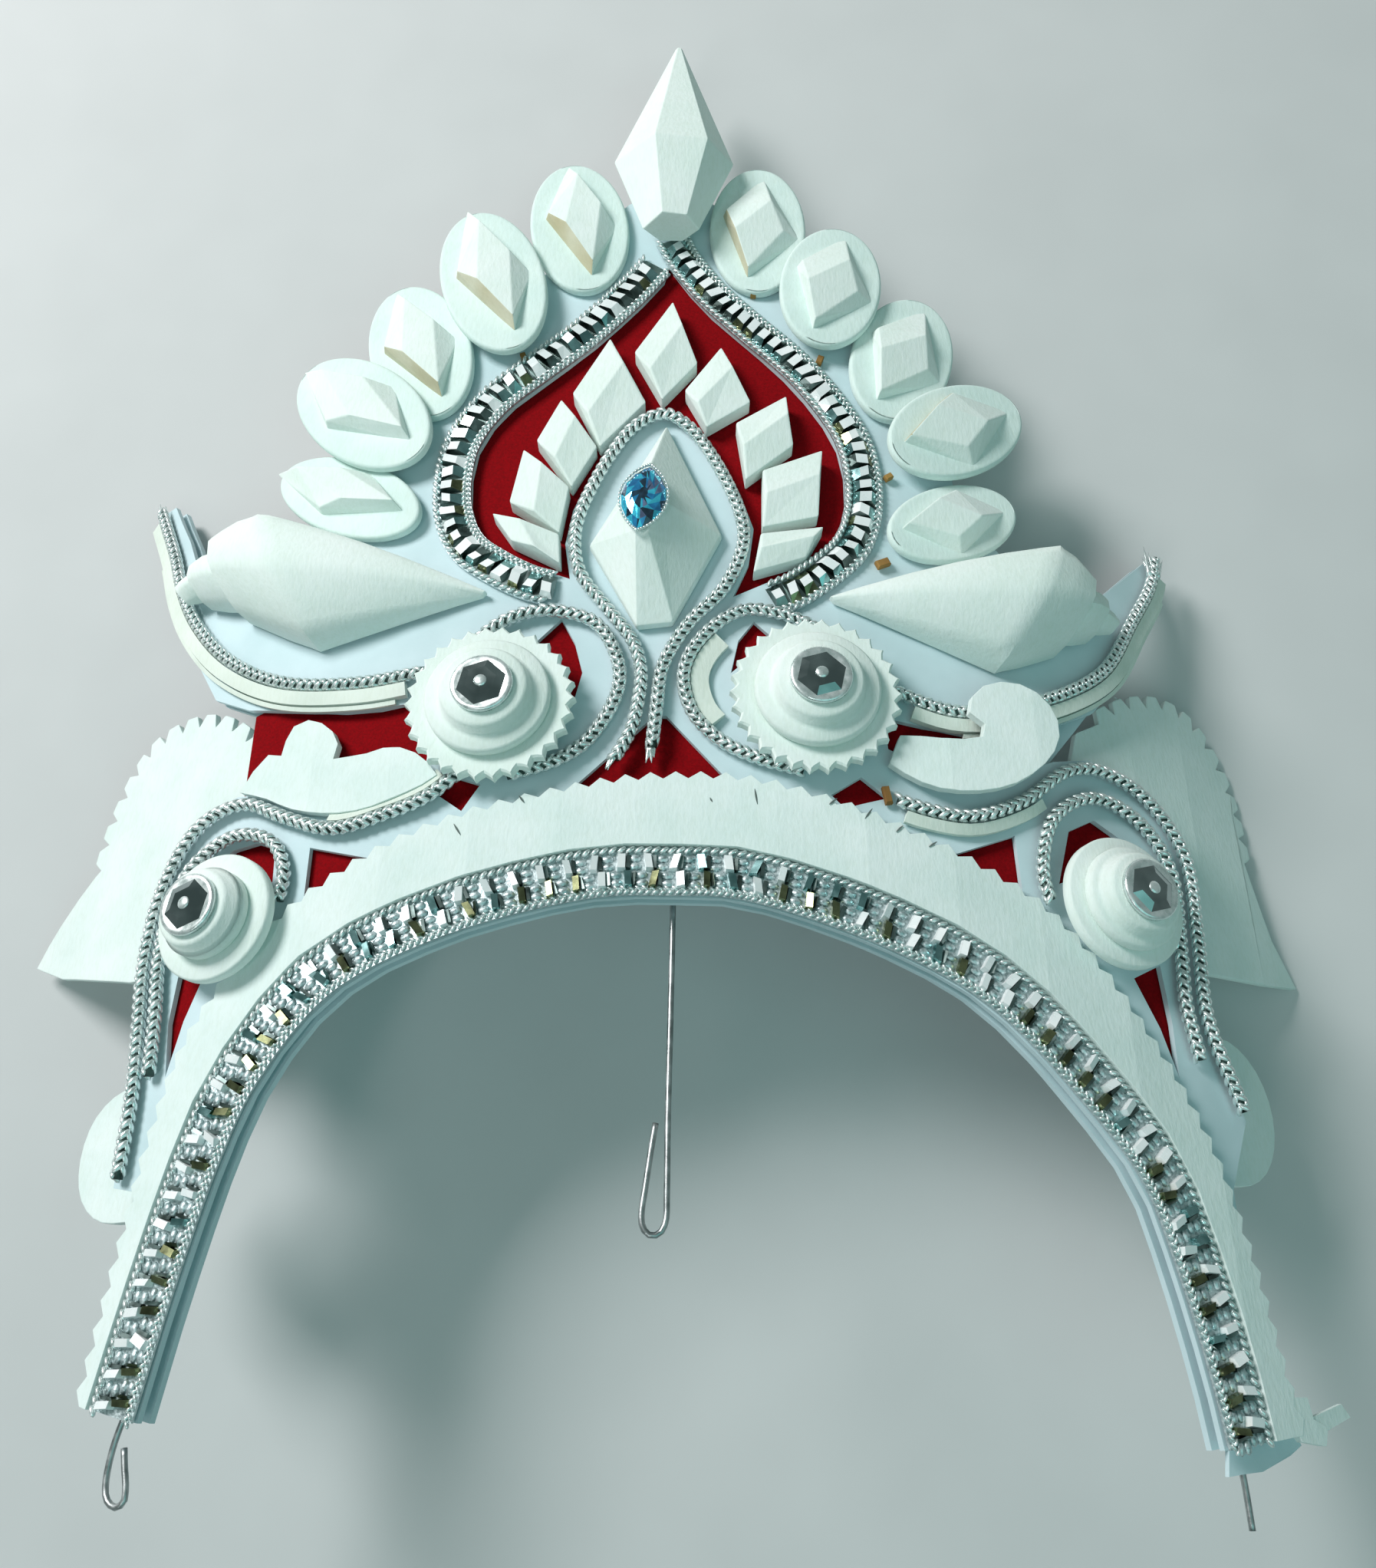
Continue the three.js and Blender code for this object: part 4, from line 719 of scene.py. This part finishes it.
def metal_material(name, light, dark, smooth, rough, scale, grain=0.0, metal=1.0):
    nodes = Nodes(name).set(Metallic=metal)
    tone = nodes.noise(scale, 3)
    nodes.colour(nodes.ramp(tone, [(0.35, dark), (0.62, light)]))
    nodes.roughness(nodes.spread(tone, smooth, rough))
    if grain:
        nodes.bump(nodes.noise(3500, 2), grain, 0.0001)
    return nodes.material


def stone_material(name, light, dark):
    nodes = Nodes(name).set(Metallic=0.5, Coat_Weight=1.0, Coat_Roughness=0.03)
    tint = nodes.noise(600, 2)
    nodes.colour(nodes.ramp(tint, [(0.35, dark), (0.65, light)]))
    nodes.roughness(nodes.spread(tint, 0.05, 0.14))
    return nodes.material


PITH = pith_material("pith", (0.81, 0.89, 0.86), (0.75, 0.86, 0.81))
PITH_THIN = pith_material("pith_thin", (0.78, 0.87, 0.85), (0.70, 0.82, 0.79))
PITH_CREAM = pith_material("pith_cream", (0.76, 0.83, 0.76), (0.66, 0.74, 0.67))
PITH_DISC = pith_material("pith_disc", (0.73, 0.86, 0.82), (0.66, 0.81, 0.77))
# Tan on the steep side of some petal blocks: partly the pith's brown skin, partly painted shade
PITH_TAN_SKIN_AND_SHADE = pith_material("pith_tan_skin_and_shade", (0.66, 0.66, 0.53), (0.50, 0.46, 0.30))
# Painted shade inside the knife nicks
NICK_SHADE = pith_material("nick_shade", (0.16, 0.20, 0.19), (0.08, 0.11, 0.10))
PITH_SKIN = pith_material("pith_skin", (0.42, 0.24, 0.07), (0.20, 0.10, 0.03))
CARD = card_material()
RED = red_material()
SILVER_CORD = metal_material(
    "silver_cord", (0.90, 0.96, 0.95), (0.66, 0.76, 0.74), 0.22, 0.38, 700, metal=0.75
)
# Painted shade: a near-black core that shows as the dark gaps between the strands
CORD_PAINTED_SHADE_CORE = metal_material("cord_painted_shade_core", (0.08, 0.12, 0.11), (0.03, 0.045, 0.04), 0.4, 0.6, 500)
# Painted highlight: a near-white, barely metallic finish for the blown highlights on the silver bars
LACE_PAINTED_HIGHLIGHT = metal_material(
    "lace_painted_highlight", (0.96, 0.98, 0.98), (0.86, 0.92, 0.92), 0.22, 0.36, 260, metal=0.12
)
# Painted reflection: a teal tint that the silver bars pick up from their surroundings
LACE_PAINTED_TEAL_REFLECTION = metal_material("lace_painted_teal_reflection", (0.40, 0.66, 0.66), (0.20, 0.40, 0.40), 0.12, 0.25, 260)
# Painted shade: near-black silver for the dark gaps and flanks between the lace bars
LACE_PAINTED_SHADE = metal_material("lace_painted_shade", (0.24, 0.31, 0.30), (0.08, 0.11, 0.10), 0.22, 0.4, 260)
# Painted reflection: an olive tint that the silver bars pick up from their surroundings
LACE_PAINTED_OLIVE_REFLECTION = metal_material("lace_painted_olive_reflection", (0.30, 0.32, 0.17), (0.12, 0.13, 0.07), 0.15, 0.3, 260)
LACE_GAUZE = metal_material(
    "lace_gauze", (0.70, 0.80, 0.81), (0.34, 0.43, 0.44), 0.3, 0.5, 1800, grain=0.6, metal=0.7
)
WIRE = metal_material("wire", (0.55, 0.58, 0.58), (0.34, 0.37, 0.37), 0.3, 0.5, 400, grain=0.2)
MIRROR_GLASS = metal_material("mirror_glass", (0.46, 0.52, 0.52), (0.24, 0.29, 0.29), 0.06, 0.14, 120)
STONE_NAVY = stone_material("stone_navy", (0.03, 0.08, 0.14), (0.01, 0.03, 0.05))
STONE_BLUE = stone_material("stone_blue", (0.03, 0.36, 0.72), (0.02, 0.18, 0.42))
STONE_SKY = stone_material("stone_sky", (0.08, 0.72, 0.95), (0.04, 0.50, 0.75))
STONE_VIOLET = stone_material("stone_violet", (0.24, 0.30, 0.50), (0.12, 0.16, 0.28))
LACE_FINISH = [LACE_PAINTED_HIGHLIGHT, LACE_GAUZE, SILVER_CORD, LACE_PAINTED_TEAL_REFLECTION, LACE_PAINTED_SHADE, LACE_PAINTED_OLIVE_REFLECTION]
STONE_FINISH = [STONE_NAVY, STONE_BLUE, STONE_SKY, STONE_VIOLET]
# Finishes of the solids; any other is pith
FINISHES = {
    "base_card": CARD, "front_card": CARD, "red_ground": RED, "arch_band": PITH_THIN,
    "arch_wire": WIRE, "centre_wire": WIRE, "ear_left": PITH_THIN, "ear_right": PITH_THIN,
    "comma_left": PITH_THIN, "comma_right": PITH_THIN,
    "half_disc_left": PITH_THIN, "half_disc_right": PITH_THIN,
}

# Braided cords
for name, rows in CORDS.items():
    maker = Maker()
    line = stops(rows, CORD_AXIS, BRAID_PITCH)
    maker.tube(line, CORE_RADIUS, kind=CORD_SHADE_CORE)
    for i, stop in enumerate(line[:-1]):
        following = line[i + 1]
        for turn, shift, slant in BRAID_COLUMNS:
            angle = math.radians(turn)
            out = stop.up * math.cos(angle) + stop.left * math.sin(angle)
            round_way = stop.left * math.cos(angle) - stop.up * math.sin(angle)
            middle = stop.point.lerp(following.point, shift) + out * STRAND_REACH
            along = stop.run * math.cos(BRAID_SLANT) + round_way * (slant * math.sin(BRAID_SLANT))
            maker.lobe(middle, along, out.cross(along), out, STRAND, CORD_STRAND)
    maker.piece(name + "_braid", [SILVER_CORD, CORD_PAINTED_SHADE_CORE], "cord", name)


def lace_bar(maker, stop, middle, half, run, width, high, tone):
    """One cut bar that stands on the gauze, its top leaning a little."""
    lean = dice.uniform(-BAR_LEAN, BAR_LEAN)
    slant = dice.uniform(-BAR_SLANT, BAR_SLANT) * width
    foot = []
    top = []
    for r, k in SQUARE:
        foot.append(stop.at(middle + k * half, GAUZE_TOP, run + r * width / 2 + k * slant))
        top_run = run + r * width * BAR_TOP_WIDTH + k * slant
        top.append(stop.at(middle + k * half * BAR_TOP_LENGTH, high + r * lean, top_run))
    maker.rings([foot, top], kind=tone, smooth=False)


def lace_edges(maker, rows, half):
    """A twisted rope along the left edge and a small braid along the right one."""
    for stop in stops(rows, SEAT, ROPE_PITCH, EVEN):
        middle = stop.at(half - ROPE_INSET, ROPE_LIFT)
        along = stop.run * ROPE_SLANT[0] + stop.left * ROPE_SLANT[1]
        maker.lobe(middle, along, stop.up.cross(along), stop.up, ROPE_STRAND, ROPE)
    for stop in stops(rows, SEAT, EDGE_PITCH, EVEN):
        for side in (1, -1):
            middle = stop.at(-half + EDGE_INSET + EDGE_APART * side, EDGE_LIFT, EDGE_STAGGER * side)
            along = stop.run * EDGE_SLANT[0] - stop.left * (EDGE_SLANT[1] * side)
            maker.lobe(middle, along, stop.up.cross(along), stop.up, EDGE_STRAND, ROPE)


def lace_ribbon(maker, rows, half, low, high, kind):
    """A flat ribbon along the whole lace."""
    profile = [(half, low), (half, high), (-half, high), (-half, low)]
    maker.strip(stops(rows, SEAT, GAUZE_SPACING, EVEN), profile, kind)


def arch_lace(name, rows):
    """Lace with two rows of bars that run along it."""
    maker = Maker()
    lace_ribbon(maker, rows, ARCH_HALF, 0.0, GAUZE_TOP, GAUZE)
    cells = stops(rows, SEAT, ARCH_PITCH, EVEN)
    row_half = (ARCH_HALF - ARCH_EDGES) / 2
    along, across, up = BUMP_SIZES
    bump_sizes = (along * ARCH_PITCH, across * row_half, up)
    for side, shift, height, tones in ARCH_ROWS:
        middle = side * (row_half + ARCH_PART) + ARCH_MIDDLE
        run = (ARCH_START + shift) * ARCH_PITCH
        for stop in cells[:-1]:
            width = BAR_WIDTH * ARCH_PITCH * dice.uniform(*BAR_CHANGE)
            lace_bar(maker, stop, middle, row_half, run, width, height, TONES[dice.choice(tones)])
            # Behind each bar, a lower bar painted as the shade between bars
            shade_bar_half = row_half * SHADE_BAR_LENGTH
            shade_bar_run = run + width * SHADE_BAR_RUN
            lace_bar(maker, stop, middle, shade_bar_half, shade_bar_run, width * SHADE_BAR_WIDTH, height - SHADE_BAR_DROP, PAINTED_SHADE)
            for k in BUMP_SIDES:
                bump = stop.at(middle + k * row_half, BUMP_LIFT, run + BUMP_RUN * ARCH_PITCH)
                maker.lobe(bump, stop.run, stop.left, stop.up, bump_sizes, GAUZE)
    lace_edges(maker, rows, ARCH_HALF)
    maker.piece(name + "_work", LACE_FINISH, "lace", name)


def cut_bar(maker, stop, half, chip, shift, width):
    """One bar across the lace: a chip on top painted as a highlight, slopes to both ends drawn from painted
    reflection, shade and highlight tones, and flanks painted as shade.
    """
    lean = dice.uniform(-CHIP_LEAN, CHIP_LEAN)
    skew = dice.uniform(-CHIP_SKEW, CHIP_SKEW)
    foot = []
    top = []
    for r, k in SQUARE:
        foot.append(stop.at(k * half, GAUZE_TOP, r * width * CUT_FOOT + k * skew))
        top.append(stop.at(shift + k * chip, CHIP_TOP + r * lean, r * width * CUT_TOP + k * skew))
    faces = [(3, 2, 1, 0), (4, 5, 6, 7), (0, 1, 5, 4), (1, 2, 6, 5), (2, 3, 7, 6), (3, 0, 4, 7)]
    ends = [TONES[dice.choice(CUT_ENDS)] for _ in range(2)]
    maker.add(foot + top, faces, [PAINTED_SHADE, PAINTED_HIGHLIGHT, ends[0], PAINTED_SHADE, ends[1], PAINTED_SHADE], False)


def onion_lace(name, rows):
    """Lace with one row of bars that lie across it."""
    half, pitch, chip, shift = ONION_LACES[name]
    inner = half - ONION_EDGES
    maker = Maker()
    lace_ribbon(maker, rows, half, 0.0, GAUZE_TOP, GAUZE)
    # Ribbon painted as the shade in the gaps between the bars
    lace_ribbon(maker, rows, inner, *ONION_RIBBON, PAINTED_SHADE)
    for stop in stops(rows, SEAT, pitch, EVEN)[:-1]:
        chip_half = chip * dice.uniform(*CHIP_CHANGE)
        cut_bar(maker, stop, inner, chip_half, shift, pitch * dice.uniform(*CUT_CHANGE))
    lace_edges(maker, rows, half)
    maker.piece(name + "_work", LACE_FINISH, "lace", name)


# Laces
arch_lace("arch_lace", ARCH)
onion_lace("onion_lace_left", ONION_LEFT)
onion_lace("onion_lace_right", ONION_RIGHT)

# Pith strips beside the cords
for i, (cord, first, last, near, far, top_near, top_far) in enumerate(PITH_STRIPS):
    maker = Maker()
    line = stops(CORDS[cord], SEAT, STRIP_SPACING)
    line = line[int(first * len(line)):int(last * len(line))]
    maker.strip(line, [(near, 0.0), (near, top_near), (far, top_far), (far, 0.0)])
    maker.piece("%s_strip_%d" % (cord, i + 1), [PITH_CREAM], "pith")


def soften(piece):
    """Rounds the sharp edges a little, as a knife and a thumb leave them."""
    weld = piece.modifiers.new("weld", "WELD")
    weld.merge_threshold = WELD_GAP
    bevel = piece.modifiers.new("soft_edges", "BEVEL")
    bevel.width = SOFT_WIDTH
    bevel.segments = 2
    bevel.limit_method = "ANGLE"
    bevel.angle_limit = SOFT_ANGLE


def seat_frame(u, v, w, turn=0.0):
    """Place and three ways of a stiff piece that sits flat on the bent card."""
    normal = card_normal(u)
    across = Vector((normal.z, 0, -normal.x))
    up = Vector((0, 1, 0))
    x = across * math.cos(turn) + up * math.sin(turn)
    y = up * math.cos(turn) - across * math.sin(turn)
    middle = bend(u, v, w)
    return lambda px, py, pz: middle + x * px + y * py + normal * pz


def circle(radius, sides, z, place, teeth=0, depth=0.0):
    """A round or toothed ring."""
    points = []
    for k in range(sides):
        angle = 2 * math.pi * k / sides
        reach = radius
        if teeth:
            phase = (k * teeth / sides) % 1
            reach = radius - depth * (1 - abs(2 * phase - 1)) ** TOOTH_POWER
        points.append(place(reach * math.cos(angle), reach * math.sin(angle), z))
    return points


def hull(points):
    """Corners, faces and normals of the tightest closed skin round some points."""
    work = bmesh.new()
    for point in points:
        work.verts.new(point)
    bmesh.ops.convex_hull(work, input=work.verts)
    bmesh.ops.recalc_face_normals(work, faces=work.faces)
    loose = [vert for vert in work.verts if not vert.link_faces]
    bmesh.ops.delete(work, geom=loose, context="VERTS")
    work.verts.index_update()
    corners = [vert.co.copy() for vert in work.verts]
    faces = [[vert.index for vert in face.verts] for face in work.faces]
    normals = [face.normal.copy() for face in work.faces]
    work.free()
    return corners, faces, normals


def crisp(piece):
    """Keeps the sharp edges of a smooth piece sharp."""
    weld = piece.modifiers.new("weld", "WELD")
    weld.merge_threshold = WELD_GAP
    split = piece.modifiers.new("crisp_edges", "EDGE_SPLIT")
    split.split_angle = CRISP_ANGLE


def rounded(corners, share):
    """Cuts every inner corner of an open outline."""
    outline = [corners[0]]
    for before, corner, after in zip(corners, corners[1:], corners[2:]):
        for end in (before, after):
            outline.append([c + (e - c) * share for c, e in zip(corner, end)])
    return outline + [corners[-1]]


def conch_ring(section, size=1.0):
    """One section of a shell, made larger or smaller about its middle."""
    low_u, low_v, top_u, top_v, height, lift = section
    ring = []
    for across, up in rounded(CONCH_CORNERS, CONCH_ROUNDING):
        share = 0.5 + (across - 0.5) * size
        u = low_u + share * (top_u - low_u)
        v = low_v + share * (top_v - low_v)
        ring.append(bend(u, v, CONCH_SEAT + lift + up * size * height))
    return ring


# Conch shells: a swelling body, then whorls parted by grooves
for name, rows in CONCHES.items():
    maker = Maker()
    rings = [conch_ring(rows[0])]
    for i, (near, far) in enumerate(zip(rows, rows[1:])):
        gap = math.hypot(far[0] - near[0], far[1] - near[1])
        if i < len(CONCH_SWELL):
            swell = CONCH_SWELL[i]
        else:
            swell = CONCH_WHORL if gap > CONCH_STEP else CONCH_GROOVE
        for share, size in swell:
            rings.append(conch_ring([a + (b - a) * share for a, b in zip(near, far)], size))
        rings.append(conch_ring(far))
    maker.rings(rings)
    crisp(maker.piece(name + "_carved", [PITH], "pith", name))


def oval(width, length, z, place, sides=72):
    """An oval ring."""
    turns = [2 * math.pi * k / sides for k in range(sides)]
    return [place(width / 2 * math.cos(t), length / 2 * math.sin(t), z) for t in turns]


def has_skin_and_shade(normal):
    """Whether a face of a block is on the steep side that is tinted tan, partly for skin and partly as
    painted shade.
    """
    steep = TAN_SIDE_RISE[0] < normal.z < TAN_SIDE_RISE[1]
    turned = normal.x - TAN_SIDE_LEAN * normal.y < TAN_SIDE_ACROSS
    return steep and turned and normal.y < TAN_SIDE_ALONG


# Petals: a smooth thin disc under a faceted block
for name, (root_u, root_v, tip_u, tip_v, width, level, reach) in PETALS.items():
    length = math.hypot(tip_u - root_u, tip_v - root_v)
    turn = math.atan2(tip_v - root_v, tip_u - root_u) - math.pi / 2
    place = seat_frame((root_u + tip_u) / 2, (root_v + tip_v) / 2, SEAT + level * PETAL_LEVEL, turn)
    maker = Maker()
    disc = [oval(width - less, length - less, z, place) for less, z in PETAL_RINGS]
    maker.rings(disc, kind=PETAL_DISC)
    points = []
    for x, y, to_tip, rise in BLOCKS["left" if root_u < 0 else "right"]:
        height = PETAL_THICK + (rise * BLOCK_HEIGHT if rise else -BLOCK_SINK)
        points.append((x * width, (y + to_tip * reach) * length, height))
    corners, faces, normals = hull(points)
    kinds = []
    for normal in normals:
        kinds.append(PETAL_SKIN_AND_SHADE if name in SKIN_AND_SHADE_PETALS and has_skin_and_shade(normal) else PETAL_BLOCK)
    maker.add([place(*corner) for corner in corners], faces, kinds, False)
    soften(maker.piece(name + "_carved", [PITH, PITH_DISC, PITH_TAN_SKIN_AND_SHADE], "pith", name))

# Rosettes: a plate on a stem, a turned boss and a mirror with a knob
for name, (u, v, radius, teeth, stem, boss, plug) in ROSETTES.items():
    place = seat_frame(u, v, DISC_LOW)
    sides = teeth * SIDES_PER_TOOTH if teeth else PLAIN_SIDES
    maker = Maker()
    depth = ROSETTE_TOOTH if teeth else 0
    maker.rings([
        circle(stem, sides, SEAT - DISC_LOW, place),
        circle(stem, sides, 0, place),
        *[circle(radius - less, sides, z, place, teeth, depth) for less, z in PLATE_EDGE],
        circle(boss * PLATE_TOP, sides, DISC_THICK, place),
    ], smooth=not teeth)
    maker.piece(name + "_plate", [PITH], "pith", name + "_disc")

    place = seat_frame(u, v, BOSS_LOW)
    # columns: radius, height
    outline = [
        (boss - 0.2, 0), (boss, 0.3), (boss, BOSS_STEP - 0.5), (boss - 0.5, BOSS_STEP),
        (plug + 1.0, BOSS_STEP + 0.1), (plug + 0.4, BOSS_STEP + 0.5),
        (plug, BOSS_HEIGHT - 0.5), (plug - 0.6, BOSS_HEIGHT),
    ]
    maker = Maker()
    maker.rings([circle(r, BOSS_SIDES, z, place) for r, z in outline])
    maker.piece(name + "_turned", [PITH], "pith", name + "_boss")

    place = seat_frame(u, v, MIRROR_LOW, MIRROR_TURN)
    maker = Maker()
    rim = [circle(MIRROR_RADIUS - less, MIRROR_SIDES, z, place) for less, z in MIRROR_RIM]
    maker.rings(rim, kind=MIRROR_EDGE)
    facets = [circle(share * MIRROR_RADIUS, FACET_SIDES, z, place) for share, z in MIRROR_FACETS]
    maker.rings(facets, kind=MIRROR_FACE, smooth=False)
    maker.rings([circle(r, KNOB_SIDES, z, place) for r, z in MIRROR_KNOB], kind=MIRROR_EDGE)
    maker.piece(name + "_glass", [MIRROR_GLASS, SILVER_CORD], "mirror", name + "_mirror")


def marquise(place, share, z, count, turn=0.0):
    """A ring with the stone's pointed outline."""
    ring = []
    for k in range(count):
        angle = 2 * math.pi * (k + turn) / count
        along = math.sin(angle)
        across = math.cos(angle) * abs(math.cos(angle)) ** STONE_POINT
        ring.append(place(share * across * STONE["width"] / 2, share * along * STONE["length"] / 2, z))
    return ring


# Marquise stone: rings of facets in several blues, held by a silver rim
place = seat_frame(STONE["u"], STONE["v"], STONE["low"], STONE["turn"])
maker = Maker()
rings = [marquise(place, share, z, STONE_SIDES, turn) for share, z, turn in STONE_RINGS]
for low, high in zip(rings, rings[1:]):
    for k in range(STONE_SIDES):
        n = (k + 1) % STONE_SIDES
        maker.add([low[k], low[n], high[k]], [(0, 1, 2)], dice.choice(STONE_LOW_BLUES), False)
        maker.add([low[n], high[n], high[k]], [(0, 1, 2)], dice.choice(STONE_HIGH_BLUES), False)
maker.add(rings[-1], [tuple(range(STONE_SIDES))], 0, False)
maker.add(rings[0], [tuple(reversed(range(STONE_SIDES)))], 0, False)
maker.piece("bud_stone_cut", STONE_FINISH, "stone", "bud_stone")

maker = Maker()
rim = marquise(place, RIM_SHARE, RIM_HEIGHT, RIM_BEADS)
up = (place(0, 0, 1) - place(0, 0, 0)).normalized()
for a, b in zip(rim, rim[1:] + rim[:1]):
    run = (b - a).normalized()
    maker.lobe(a, run, up.cross(run), up, RIM_BEAD)
maker.piece("stone_rim", [SILVER_CORD], "cord")

# Bits of brown skin
maker = Maker()
for u, v, length, width, turn in SKIN_BITS:
    place = seat_frame(u, v, SEAT, math.radians(turn))
    rings = []
    for size, z in SKIN_RINGS:
        rings.append([place(x * length * size, y * width * size, z) for x, y in SKIN_CORNERS])
    maker.rings(rings, smooth=False)
maker.piece("skin_bits", [PITH_SKIN], "pith")

# Knife nicks: thin slivers on the band, painted dark as the shade inside each cut
maker = Maker()
for u1, v1, u2, v2 in NICKS:
    start = Vector((u1, v1))
    end = Vector((u2, v2))
    line = stops([start, start.lerp(end, 0.5), end], BAND_TOP, NICK_SPACING)
    rings = []
    for j, stop in enumerate(line):
        wave = NICK_WAVE[0] + NICK_WAVE[1] * j / (len(line) - 1)
        half = NICK_HALF * math.sin(math.pi * wave)
        corners = ((half, -NICK_DEPTH), (half, NICK_DEPTH), (-half, NICK_DEPTH), (-half, -NICK_DEPTH))
        rings.append([stop.at(left, up) for left, up in corners])
    maker.rings(rings, smooth=False)
maker.piece("band_nicks", [NICK_SHADE], "pith")

# Wires with rounded hooks
for name, rows, depth in WIRES:
    maker = Maker()
    maker.tube(stops(rows, depth, WIRE_SPACING), WIRE_RADIUS, WIRE_SIDES)
    maker.piece(name + "_drawn", [WIRE], "wire", name)

# Torn flaps
for name, low, high, slot, rows in FLAPS:
    maker = Maker()
    maker.rings([[bend(u, v, w) for u, v in rows] for w in (low, high)], smooth=False)
    maker.piece(name, [CARD if slot == "card" else PITH_THIN], slot)

# Frayed ends of the cords, as tapering strands
for i, (u, v, heading, length, strands) in enumerate(FRAYS):
    maker = Maker()
    for _ in range(strands):
        way = math.radians(heading + dice.uniform(-FRAY_TURN, FRAY_TURN))
        shift = [dice.uniform(-spread, spread) for spread in FRAY_SPREAD]
        start = Vector((u + shift[0], v + shift[1]))
        tip = start + Vector((math.cos(way), math.sin(way))) * length * dice.uniform(*FRAY_LENGTH)
        level = CORD_AXIS + dice.uniform(*FRAY_RISE)
        line = stops([start, start.lerp(tip, 0.5), tip], level, length / FRAY_STEPS)
        turns = [2 * math.pi * t / FRAY_SIDES for t in range(FRAY_SIDES)]
        rings = []
        for j, stop in enumerate(line):
            radius = FRAY_RADIUS * (1 - FRAY_TAPER * j / (len(line) - 1))
            rings.append([stop.at(radius * math.cos(t), radius * math.sin(t)) for t in turns])
        maker.rings(rings)
    maker.piece("fray_%d" % (i + 1), [SILVER_CORD], "cord")


def finish_solid(name, solid):
    """Gives a solid its material and its kind of edge."""
    solid.data.materials.clear()
    solid.data.materials.append(FINISHES.get(name, PITH))
    carved = name.startswith(SOFT_EDGES)
    solid.data.polygons.foreach_set("use_smooth", [not carved] * len(solid.data.polygons))
    if carved:
        soften(solid)
    else:
        crisp(solid)


# Finishes of the solids
for name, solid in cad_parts.items():
    finish_solid(name, solid)

# Floor, light and camera
floor_mesh = bpy.data.meshes.new("floor")
floor_corners = [(x * FLOOR_REACH, y * FLOOR_REACH, 0) for x, y in SQUARE]
floor_mesh.from_pydata(floor_corners, [], [(0, 1, 2, 3)])
floor = bpy.data.objects.new("floor", floor_mesh)
bpy.context.scene.collection.objects.link(floor)
floor_nodes = Nodes("floor").set(Roughness=0.85, Specular_IOR_Level=0.2)
floor_nodes.colour(floor_nodes.ramp(floor_nodes.noise(30, 2), FLOOR_TONES))
floor_mesh.materials.append(floor_nodes.material)

world = bpy.data.worlds.new("studio")
world.use_nodes = True
background = world.node_tree.nodes["Background"]
background.inputs["Color"].default_value = WORLD_COLOUR
background.inputs["Strength"].default_value = WORLD_STRENGTH
bpy.context.scene.world = world


def soft_light(name, place, target, size, power, colour):
    """A soft lamp that faces its target."""
    light = bpy.data.lights.new(name, "AREA")
    light.shape = "RECTANGLE"
    light.size = size[0]
    light.size_y = size[1]
    light.energy = power
    light.color = colour
    lamp = bpy.data.objects.new(name, light)
    lamp.location = place
    lamp.rotation_euler = (Vector(target) - Vector(place)).to_track_quat("-Z", "Y").to_euler()
    bpy.context.scene.collection.objects.link(lamp)


for name, place, target, size, power, colour in LIGHTS:
    soft_light(name, place, target, size, power, colour)
bpy.context.scene.view_settings.view_transform = "Standard"

camera_data = bpy.data.cameras.new("camera")
camera_data.lens = CAMERA_LENS
camera_data.sensor_width = CAMERA_SENSOR
camera_data.clip_start = CAMERA_NEAR
camera = bpy.data.objects.new("camera", camera_data)
camera.location = row(CAMERA_PLACE)
camera.rotation_mode = "QUATERNION"
camera.rotation_quaternion = CROWN_TURN @ Quaternion((1, 0, 0), CAMERA_TILT)
bpy.context.scene.collection.objects.link(camera)
bpy.context.scene.camera = camera
